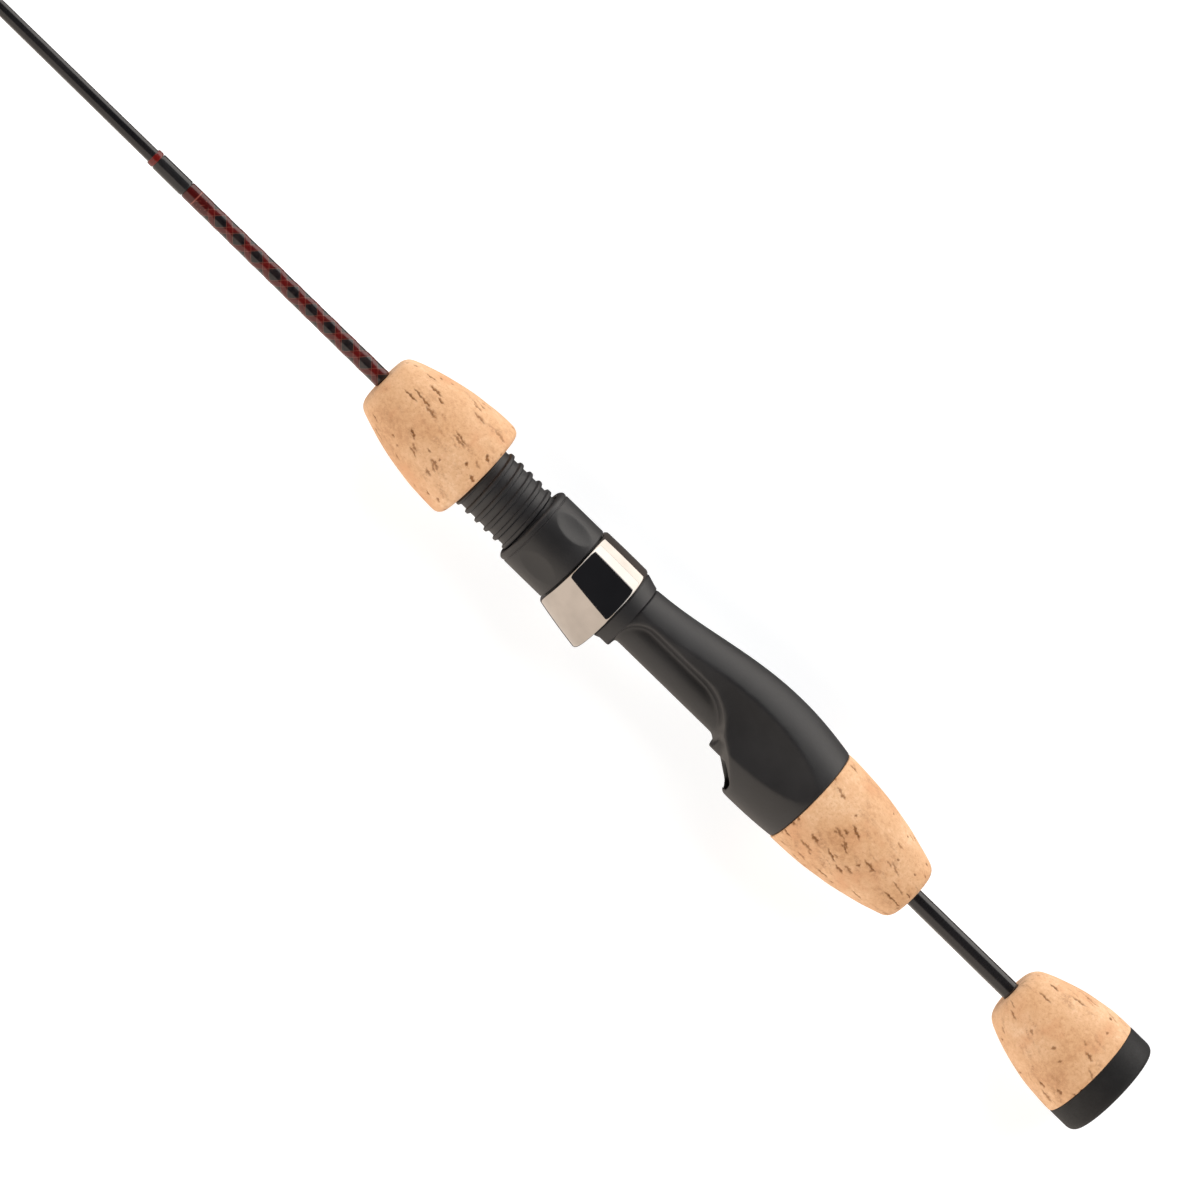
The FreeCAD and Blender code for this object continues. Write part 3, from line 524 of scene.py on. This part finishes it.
def cork_piece(node, outline, seed, pits):
    """A turned cork skin with real pits and a slight ripple; pits and faint veins are also painted."""
    columns = 372
    line = resample(outline, 0.2)
    along = np.concatenate([[0], np.cumsum(np.hypot(*np.diff(line, axis=0).T))])
    length_along = along[-1]
    along, angle = ring_grid(along, columns)
    widest = float(np.max(line[:, 1]))
    loop = TURN * widest
    around = angle * widest
    draw = random.Random(seed)

    def grain_axes(middle_along, middle_around, lean):
        """How far each point is from a mark's middle, along the grain and across it."""
        da = along - middle_along
        db = (around - middle_around + loop / 2) % loop - loop / 2
        return da * math.cos(lean) + db * math.sin(lean), -da * math.sin(lean) + db * math.cos(lean)

    pit = np.zeros_like(along)
    for _ in range(pits):
        length = draw.choice(PIT_LENGTHS)
        width = draw.uniform(0.22, 0.5) * (1.0 if length > 1 else 1.2)
        middle = draw.uniform(0.5, length_along - 0.5), draw.uniform(0, loop)
        lean = draw.gauss(GRAIN_LEAN, 0.12)
        wobble = draw.uniform(0, TURN)
        strength = draw.uniform(0.55, 1.0)
        u, v = grain_axes(*middle, lean)
        v = v + 0.12 * np.sin(u * 3.1 + wobble)
        ragged = 1 + 0.35 * np.sin(u * 6.3 + wobble * 2) + 0.2 * np.sin(u * 14 + wobble)
        away = np.sqrt((u / (length / 2)) ** 2 + (v / (width * ragged)) ** 2)
        pit = np.maximum(pit, strength * (1 - smoothstep(0.55, 1.15, away)))
    vein = np.zeros_like(along)
    for _ in range(pits):
        middle = draw.uniform(0, length_along), draw.uniform(0, loop)
        u, v = grain_axes(*middle, draw.gauss(GRAIN_LEAN, 0.1))
        v = v + 0.2 * np.sin(u * 1.7 + middle[1])
        away = np.sqrt((u / draw.uniform(1.2, 3.6)) ** 2 + (v / draw.uniform(0.4, 1.5)) ** 2)
        vein = np.maximum(vein, draw.uniform(0.3, 0.8) * (1 - smoothstep(0.1, 1.1, away)))

    side = np.minimum(1, np.abs(np.gradient(line[:, 0])) / 0.05)[:, None]  # 0 on the flat end faces
    ripple = 0.02 * np.sin(5 * angle + 0.7 * along) + 0.012 * np.sin(13 * angle - 0.9 * along)
    radii = line[:, 1:] - side * (PIT_DEPTH * pit) + side * ripple
    piece = turned_skin(node, line[:, 0], radii, columns, CORK)
    set_attribute(piece, "pit", pit)
    set_attribute(piece, "vein", vein)


KNOB = cork_outline((7.3, 13.0), (32.2, 7.1), crown=54.0, face=7.32, rear_round=0.35, front_round=2.6)
GRIP = cork_outline((63.6, 7.2), (95.6, 12.7), crown=92.0, face=63.6, rear_round=2.3, front_round=0.3)
FORE = cork_outline((202.0, 12.85), (228.7, 7.2), crown=72.0, face=198.72, rear_round=2.4, front_round=2.4)
cork_piece("butt_cork", KNOB, seed=11, pits=120)
cork_piece("rear_grip_cork", GRIP, seed=23, pits=150)
cork_piece("foregrip_cork", FORE, seed=37, pits=140)


# ---------------------------------------------------------------- butt cap
def cap_piece():
    corners = [(0.0, 0.0), (0.0, CAP_RADIUS), (CAP_FRONT, CAP_RADIUS), (CAP_FRONT, 0.0)]
    line = resample(rounded(rounded(corners, 2, 0.35), 1, 2.4, 12), 0.3)
    turned_skin("butt_cap", line[:, 0], np.maximum(line[:, 1], 0.01), 200, RUBBER)


cap_piece()

# ---------------------------------------------------------------- windings
END_INSET, BLANK_GAP = 0.02, 0.01  # a winding's skin ends short of its node and just off the blank


def diamond_piece():
    """Two-start helices wound both ways; crossings a quarter turn apart are half a pitch out of step."""
    columns, pitch, band_lift = 124, 5.6, 0.045
    stations = np.linspace(DIAMOND_REAR + END_INSET, DIAMOND_FRONT - END_INSET, 760)
    x, angle = ring_grid(stations, columns)
    red, pale, strand_shade, lift = np.zeros((4, *x.shape))
    for sign in (1, -1):
        phase = (x - DIAMOND_REAR) / pitch + sign * 2 * angle / TURN
        off = np.abs(phase - np.round(phase))
        band = 1 - smoothstep(0.135, 0.16, off)
        # Painted shade for the red: light on each strand's crest, dark between strands; the lift follows the
        # same lines as relief.
        lines = 0.5 + 0.5 * np.cos(off * TURN * 13)
        red = np.maximum(red, band)
        strand_shade = np.maximum(strand_shade, band * lines)
        pale = np.maximum(pale, 0.6 * hill(0.172, 0.012, off))
        lift = np.maximum(lift, band_lift * band * (0.8 + 0.2 * lines))
    # The front end is a plain red collar with pale flecks, up to one pale ring.
    ring = 286.4
    collar = smoothstep(282.8, 283.4, x)
    red = np.maximum(red, collar)
    # Painted shade between the collar's turns: lighter on each turn, darker between them.
    strand_shade = np.where(collar > 0, 0.25 + 0.25 * np.cos(x * TURN / THREAD_SPACING), strand_shade)
    pale = pale * (1 - collar) + 0.8 * hill(ring, 0.13, x)
    fleck = np.sin(x * 7.1 + 3 * np.sin(4 * angle)) * np.sin(5 * angle + x * 2.3)
    pale = np.maximum(pale, 0.5 * collar * (x < ring - 0.2) * smoothstep(0.80, 0.92, fleck))
    lift = np.maximum(lift, band_lift * collar)
    ends = np.clip(np.minimum(x - DIAMOND_REAR, DIAMOND_FRONT - x) / 0.6, 0, 1)
    radii = blank_radius(x) + 0.30 + lift - 0.16 * (1 - ends) ** 2
    radii[0], radii[-1] = blank_radius(DIAMOND_REAR) + BLANK_GAP, blank_radius(DIAMOND_FRONT) + BLANK_GAP
    piece = turned_skin("diamond_wrap", stations, radii, columns, DIAMOND)
    for name, values in (("red", red), ("pale", pale), ("strand_shade", strand_shade)):
        set_attribute(piece, name, values)


def wound_piece(node, start, stop, material):
    """Thread wound on the bare blank, thinner at its ends, with its turns standing proud."""
    stations = np.arange(start + END_INSET, stop - END_INSET / 2, THREAD_SPACING / 8)
    ends = np.clip(np.minimum(stations - start, stop - stations) / 0.5, 0, 1)
    turns = 0.005 * np.abs(np.sin(math.pi * stations / THREAD_SPACING))
    radii = blank_radius(stations) + 0.36 - 0.2 * (1 - ends) ** 2 + turns
    radii[0], radii[-1] = blank_radius(start) + BLANK_GAP, blank_radius(stop) + BLANK_GAP
    turned_skin(node, stations, radii, 96, material)


diamond_piece()
wound_piece("black_wrap", DIAMOND_FRONT, BLACK_FRONT, BLACK_THREAD)
wound_piece("trim_band", BLACK_FRONT, TRIM_FRONT, RED_THREAD)


# ---------------------------------------------------------------- threaded barrel and palm of the seat
def barrel_piece():
    """Screw thread in front of a smooth sleeve, with the bed of the reel's foot and the keyway cut in."""
    columns = 228
    between = np.arange(BARREL_REAR + 0.05, BARREL_FRONT - 0.02, 0.11)
    stations = np.concatenate([[BARREL_REAR], between, [BARREL_FRONT]])
    x, angle = ring_grid(stations, columns)
    turns = (x - SCREW_START - SCREW_WIDTH / 2) / SCREW_PITCH - angle / TURN
    off = np.abs(turns - np.round(turns)) * SCREW_PITCH
    ridge = SCREW_DEPTH * (1 - smoothstep(0.34, 0.74, off)) + 0.05 * np.clip(1 - (off / 0.4) ** 2, 0, 1)
    live = ramp_up(SCREW_START - 0.3, 0.6, x) * np.clip((SCREW_RUNOUT - x) / 0.4, 0, 1)
    radii = SCREW_ROOT + ridge * live
    sleeve = SLEEVE_RADIUS - (SLEEVE_RADIUS - SCREW_ROOT) * ramp_up(SLEEVE_TAPER, 0.7, x)
    radii = np.maximum(radii, sleeve * (x < SLEEVE_FRONT))
    y, z = np.cos(angle), np.sin(angle)
    bed = (x < BED_FRONT) & (y > 0.3)
    radii = np.where(bed, np.minimum(radii, BED_HEIGHT / np.maximum(y, 0.3)), radii)
    keyway = (y < 0) & (np.abs(radii * z) < KEYWAY_HALF) & (x > KEYWAY_REAR) & (x < KEYWAY_FRONT)
    radii = np.where(keyway, KEYWAY_FLOOR / np.maximum(-y, 0.5), radii)
    radii[[0, -1]] = SEAT_BORE
    points = ring_points(stations, radii, columns)
    add_mesh("seat_barrel_skin", points, grid_faces(len(stations), columns), SEAT, "rod", [])


def palm_piece():
    """The palm swell and tube: the CAD solid behind the barrel, remeshed and softened as a moulding is."""
    mesh = NODES["seat_body"].data.copy()
    work = bmesh.new()
    work.from_mesh(mesh)
    bmesh.ops.remove_doubles(work, verts=work.verts, dist=1e-6)
    cut = bmesh.ops.bisect_plane(
        work,
        geom=work.verts[:] + work.edges[:] + work.faces[:],
        plane_co=(PALM_CUT * MM, 0, 0),
        plane_no=(1, 0, 0),
        clear_outer=True,
    )
    rim = [part for part in cut["geom_cut"] if isinstance(part, bmesh.types.BMEdge)]
    bmesh.ops.edgeloop_fill(work, edges=rim)
    bmesh.ops.recalc_face_normals(work, faces=work.faces[:])
    work.to_mesh(mesh)
    work.free()
    piece = bpy.data.objects.new("seat_palm_skin", mesh)
    bpy.context.scene.collection.objects.link(piece)
    fine = piece.modifiers.new("fine", "REMESH")
    fine.mode = "VOXEL"
    fine.voxel_size = 0.32 * MM
    soft = piece.modifiers.new("soft", "SMOOTH")
    soft.factor = 0.5
    soft.iterations = 14
    bpy.context.view_layer.update()
    softened = bpy.data.meshes.new_from_object(piece.evaluated_get(bpy.context.evaluated_depsgraph_get()))
    piece.modifiers.clear()
    piece.data = softened
    smooth_shaded(softened)
    softened.materials.clear()
    softened.materials.append(SEAT)
    attach(piece, "rod", ["seat_body"])


barrel_piece()
palm_piece()


# ---------------------------------------------------------------- hood shell
def hood_piece():
    """The polished shell: wider on the reel side, with a rolled rim behind and a rounded nose in front."""
    columns, quarter = 256, math.pi / 2
    rim_front, nose_rear = HOOD_REAR + HOOD_LIP, HOOD_FRONT - HOOD_NOSE
    angle = ring_angles(columns)

    def reach(values, x):
        """The smooth curve through a reach given at the three stations."""
        return np.polyval(np.polyfit((HOOD_REAR, HOOD_MIDDLE, HOOD_FRONT), values, 2), x)

    def section(x, inset):
        back, reel, deep = (reach(values, x) - inset for values in (HOOD_BACK, HOOD_REEL, HOOD_DEEP))
        middle, half = (reel - back) / 2, (reel + back) / 2
        return np.stack([np.full(columns, x), middle + half * np.cos(angle), deep * np.sin(angle)], -1)

    def bore_ring(x):
        across, high = HOOD_NOSE_BORE * np.cos(angle), HOOD_NOSE_BORE * np.sin(angle)
        return np.stack([np.full(columns, x), across, high], -1)

    rim_turns, nose_turns = np.linspace(0, quarter, 12), np.linspace(0.1, quarter, 10)
    rim = [section(rim_front - HOOD_LIP * math.cos(t), HOOD_LIP * (1 - math.sin(t))) for t in rim_turns]
    outside = [section(x, 0.0) for x in np.linspace(rim_front + 0.15, nose_rear - 0.05, 58)]
    front = [section(nose_rear + HOOD_NOSE * math.sin(t), HOOD_NOSE * (1 - math.cos(t))) for t in nose_turns]
    bore = [bore_ring(HOOD_FRONT), bore_ring(HOOD_FRONT - HOOD_WALL)]
    inner = (HOOD_FRONT - HOOD_WALL, *np.linspace(HOOD_FRONT - 1.7, HOOD_REAR + 0.5, 14))
    inside = [section(x, HOOD_WALL) for x in inner]
    rings = rim + outside + front + bore + inside + [section(HOOD_REAR + 0.01, HOOD_WALL - 0.02)]
    points, faces = np.concatenate(rings) * MM, grid_faces(len(rings), columns)
    add_mesh("hood_skin", points, faces, METAL, "hood", ["hood_shell"])


hood_piece()


# ---------------------------------------------------------------- lock nut
def nut_piece():
    """A round nut with ball-shaped dimples round it, a groove near its front and a stepped bore."""
    columns = 300
    stations = np.concatenate(
        [
            NUT_REAR + np.array([0, 0.02, 0.08, 0.18]),
            np.arange(NUT_REAR + 0.3, NUT_FRONT - 0.7, 0.11),
            np.linspace(NUT_FRONT - 0.7, NUT_FRONT, 9),
        ]
    )
    x, angle = ring_grid(stations, columns)
    radii = NUT_RADIUS - 0.3 * np.clip(1 - (x - NUT_REAR) / 0.3, 0, 1) ** 2
    radii = radii - 0.7 * ramp_up(NUT_FRONT - 0.75, 0.75, x) ** 1.7
    radii = radii - 0.26 * hill(NUT_GROOVE, 0.16, x)
    for k in range(DIMPLES):
        off = (angle + TURN / 4 - k * TURN / DIMPLES + math.pi) % TURN - math.pi
        off = np.clip(off, -1.2, 1.2)
        side = NUT_RADIUS * np.sin(off)
        reached = np.clip(DIMPLE_BALL**2 - (x - DIMPLE_MIDDLE) ** 2 - side**2, 0, None)
        ball = DIMPLE_BALL + NUT_RADIUS - DIMPLE_DEPTH - np.sqrt(reached)
        surface = ball / np.maximum(np.cos(off), 0.4)
        near = (np.abs(off) < 0.45) & (np.abs(x - DIMPLE_MIDDLE) < 6)
        soft = 0.06  # the edge where ball and nut meet is blended over this
        both = np.exp((NUT_RADIUS - surface) / soft) + np.exp((NUT_RADIUS - radii) / soft)
        blended = NUT_RADIUS - soft * np.log(both)
        radii = np.where(near, np.minimum(radii, np.maximum(blended, surface - 0.05)), radii)
    inner = (
        (NUT_FRONT, 9.0),
        (NUT_FRONT, 8.5),
        (NUT_FRONT - 0.3, NUT_BORE),
        (NUT_RECESS_FRONT, NUT_BORE),
        (NUT_RECESS_FRONT, NUT_RECESS),
        (NUT_RECESS_REAR, NUT_RECESS),
        (NUT_RECESS_REAR, NUT_THROAT),
        (NUT_REAR, NUT_THROAT),
        (NUT_REAR, NUT_RECESS),
    )
    stations = np.concatenate([stations, [station for station, _ in inner]])
    bore = np.repeat([[radius] for _, radius in inner], columns, 1)
    points = ring_points(stations, np.concatenate([radii, bore]), columns)
    faces = grid_faces(len(stations), columns)
    add_mesh("lock_nut_skin", points, faces, NUT, "nut", ["lock_nut"])


nut_piece()


# ---------------------------------------------------------------- guide windings
def over_foot(x, start, foot_end, angle):
    """Radius of thread pulled tight over the blank and a guide's foot, straight down from foot to blank."""
    round_blank = blank_radius(x)
    gone = ramp_up(foot_end, 1.6, x)
    foot = round_blank + FOOT_TOP - FOOT_TAPER * ramp_up(start, foot_end - start, x)
    top = foot * (1 - gone) + round_blank * gone
    half = FOOT_HALF * (1 - gone) + 0.05
    corner = math.atan2(half, top)
    leaves = corner + math.acos(min(1.0, round_blank / math.hypot(top, half)))
    off = np.abs((angle + math.pi) % TURN - math.pi)
    flat = top / np.maximum(np.cos(off), 0.2)
    side = round_blank / np.maximum(np.cos(leaves - off), 0.2)
    return np.where(off <= corner, flat, np.where(off < leaves, side, round_blank))


def guide_wrap(node, station):
    """Thread wound over the blank and a guide's foot, with its turns standing proud."""
    columns = 72
    start, stop, foot_end = station + GUIDE_WRAP_REAR, station + GUIDE_WRAP_FRONT, station + FOOT_FRONT
    stations = np.arange(start, stop + 0.01, 0.05)
    support = np.array([over_foot(x, start, foot_end, ring_angles(columns)) for x in stations])
    ends = np.clip(np.minimum(stations - start, stop - stations) / 0.7, 0, 1)
    turns = 0.022 * np.abs(np.sin(math.pi * (stations - start) / THREAD_SPACING))
    radii = support + (0.16 + 0.12 * ends + turns)[:, None]
    radii[0], radii[-1] = blank_radius(start) + 0.02, blank_radius(stop) + 0.02
    turned_skin(node, stations, radii, columns, BLACK_THREAD)


for word, station in GUIDE_STATIONS.items():
    guide_wrap("guide_%s_wrap" % word, station)

# ---------------------------------------------------------------- floor and light
FLOOR_GLOW = 0.65
FLOOR_RADIUS, SWEEP_RADIUS, WALL_HEIGHT = 20.0, 4.0, 8.0


def floor_outline(low):
    """(radius, height) from halfway out, up the round sweep and the wall."""
    outline = [(FLOOR_RADIUS / 2, low)]
    for turn in np.linspace(0, math.pi / 2, 12):
        across, up = SWEEP_RADIUS * math.sin(turn), SWEEP_RADIUS * (1 - math.cos(turn))
        outline.append((FLOOR_RADIUS + across, low + up))
    return outline + [(FLOOR_RADIUS + SWEEP_RADIUS, low + WALL_HEIGHT)]


def studio_floor():
    """A round pale floor that sweeps up into a wall far behind the rod, as a photographer's cove does."""
    columns = 96
    outline = floor_outline(cad_low.z - 0.0002)
    middle = (cad_low + cad_high) / 2
    angles = ring_angles(columns)
    points = [(middle.x + r * math.cos(a), middle.y + r * math.sin(a), z) for r, z in outline for a in angles]
    rings = grid_faces(len(outline), columns, closed=False)
    mesh = bpy.data.meshes.new("floor")
    mesh.from_pydata(points, [], [tuple(range(columns))] + [face[::-1] for face in rings])
    smooth_shaded(mesh)
    piece = bpy.data.objects.new("floor", mesh)
    bpy.context.scene.collection.objects.link(piece)
    return piece


def area_light(name, place, size, power, colour, mirrored=True):
    """A rectangular lamp aimed at the handle; one that isn't mirrored lights only matte surfaces."""
    lamp = bpy.data.lights.new(name, "AREA")
    lamp.shape = "RECTANGLE"
    lamp.size, lamp.size_y = size
    lamp.energy = power
    lamp.color = colour
    holder = bpy.data.objects.new(name, lamp)
    holder.location = place
    holder.visible_glossy = mirrored
    forward = (Vector((0.2, 0, 0)) - Vector(place)).normalized()
    across = Vector((1, 0, 0))
    up = across.cross(forward).normalized()
    holder.rotation_mode = "QUATERNION"
    holder.rotation_quaternion = Matrix((across, up, -forward)).transposed().to_quaternion()
    bpy.context.scene.collection.objects.link(holder)


floor = studio_floor()
floor.visible_glossy = False
floor_shader = Shader("floor")
shade = floor_shader.remap(floor_shader.noise(3.0, 2), 0.3, 0.7)
floor_shader.colour(floor_shader.mix(shade, (0.50, 0.52, 0.54), (0.52, 0.54, 0.56)))
floor_shader.rough(0.85)
floor_shader.surface.inputs["Emission Color"].default_value = (1.0, 1.0, 1.0, 1)
floor_shader.surface.inputs["Emission Strength"].default_value = FLOOR_GLOW
floor.data.materials.append(floor_shader.material)

area_light("panel_back", (0.2, -1.17, 0.27), (2.6, 0.50), 5.0, (1.0, 0.93, 0.86))
area_light("panel_reel", (0.2, 0.92, 0.60), (2.6, 1.24), 4.0, (1.0, 0.92, 0.84), mirrored=False)
area_light("fill_back", (0.2, -1.1, 0.8), (2.0, 1.0), 20.0, (1.0, 0.98, 0.96), mirrored=False)
area_light("fill_reel", (0.2, 1.1, 0.8), (2.0, 1.0), 8.5, (1.0, 0.98, 0.96), mirrored=False)

# ---------------------------------------------------------------- surroundings
# The studio is a tent, pale on the back side and warm on the reel side, with a dark opening high up, long
# along the rod and mostly on the back side. Glossy surfaces see through the floor to the tent's lower half,
# where a bright strip and then dark cloth hang on the back side. Drops are tangents of the angle below the
# horizon, and the opening's middle and half width are on a plane one unit up.
TENT = (0.85, 0.85, 0.85)
REEL_CLOTH, REEL_CLOTH_DROP = (0.96, 0.84, 0.73), 2.6
OPENING = (0.020, 0.021, 0.025)
OPENING_MIDDLE, OPENING_HALF, OPENING_LOWEST = -0.79, 1.21, 0.35
BACK_STRIP, BACK_STRIP_DROP = (1.9, 1.78, 1.66), 0.52
UNDER = (0.13, 0.115, 0.11)
world = bpy.data.worlds.new("studio")
world.use_nodes = True
sky = world.node_tree


def sky_node(kind, inputs, **settings):
    node = sky.nodes.new(kind)
    for setting, value in settings.items():
        setattr(node, setting, value)
    for socket, value in inputs:
        if hasattr(value, "is_linked"):
            sky.links.new(value, node.inputs[socket])
        else:
            node.inputs[socket].default_value = value
    return node


def sky_math(operation, first, second=0.0):
    return sky_node("ShaderNodeMath", ((0, first), (1, second)), operation=operation).outputs[0]


def sky_mix(share, first, second):
    ends = [(*value, 1) if isinstance(value, tuple) else value for value in (first, second)]
    return sky_node("ShaderNodeMix", ((0, share), (6, ends[0]), (7, ends[1])), data_type="RGBA").outputs[2]


direction = sky.nodes.new("ShaderNodeTexCoord").outputs["Generated"]
_, y, z = sky_node("ShaderNodeSeparateXYZ", ((0, direction),)).outputs
reel_side = sky_math("GREATER_THAN", y, 0.0)
below = sky_math("LESS_THAN", z, 0.0)

from_middle = sky_math("SUBTRACT", sky_math("DIVIDE", y, sky_math("MAXIMUM", z, 0.001)), OPENING_MIDDLE)
across_opening = sky_math("LESS_THAN", sky_math("ABSOLUTE", from_middle), OPENING_HALF)
high_up = sky_math("GREATER_THAN", z, OPENING_LOWEST)

rise = sky_math("DIVIDE", z, sky_math("MAXIMUM", sky_math("ABSOLUTE", y), 0.001))
longer_drop = sky_math("MULTIPLY", reel_side, REEL_CLOTH_DROP - BACK_STRIP_DROP)
drop_limit = sky_math("ADD", longer_drop, BACK_STRIP_DROP)
under_cloth = sky_math("GREATER_THAN", sky_math("MULTIPLY", rise, -1.0), drop_limit)

shown = sky_mix(reel_side, sky_mix(below, TENT, BACK_STRIP), REEL_CLOTH)
shown = sky_mix(sky_math("MULTIPLY", across_opening, high_up), shown, OPENING)
shown = sky_mix(under_cloth, shown, UNDER)
sky.links.new(shown, sky.nodes["Background"].inputs["Color"])
bpy.context.scene.world = world

# ---------------------------------------------------------------- camera
# It looks down on the rod, leaning a little towards the tip, with the butt at the lower right.
LEAN = math.radians(6.0)
SLOPE = math.radians(44.24)
DISTANCE = 2.2226
TARGET = Vector((0.1599, 0.0014, 0.0))
axis_seen = Vector((math.cos(LEAN), 0, -math.sin(LEAN)))
reel_seen = Vector((0, 1, 0))
backward = Vector((math.sin(LEAN), 0, math.cos(LEAN)))
right = -math.cos(SLOPE) * axis_seen - math.sin(SLOPE) * reel_seen
upward = math.sin(SLOPE) * axis_seen - math.cos(SLOPE) * reel_seen
camera_data = bpy.data.cameras.new("camera")
camera_data.lens = 300
camera_data.sensor_width = 36
camera_data.clip_start = 0.1
camera_data.clip_end = 50
camera = bpy.data.objects.new("camera", camera_data)
camera.location = TARGET + backward * DISTANCE
camera.rotation_mode = "QUATERNION"
camera.rotation_quaternion = Matrix((right, upward, backward)).transposed().to_quaternion()
bpy.context.scene.collection.objects.link(camera)
bpy.context.scene.camera = camera
bpy.context.scene.view_settings.view_transform = "Standard"

bpy.context.view_layer.update()
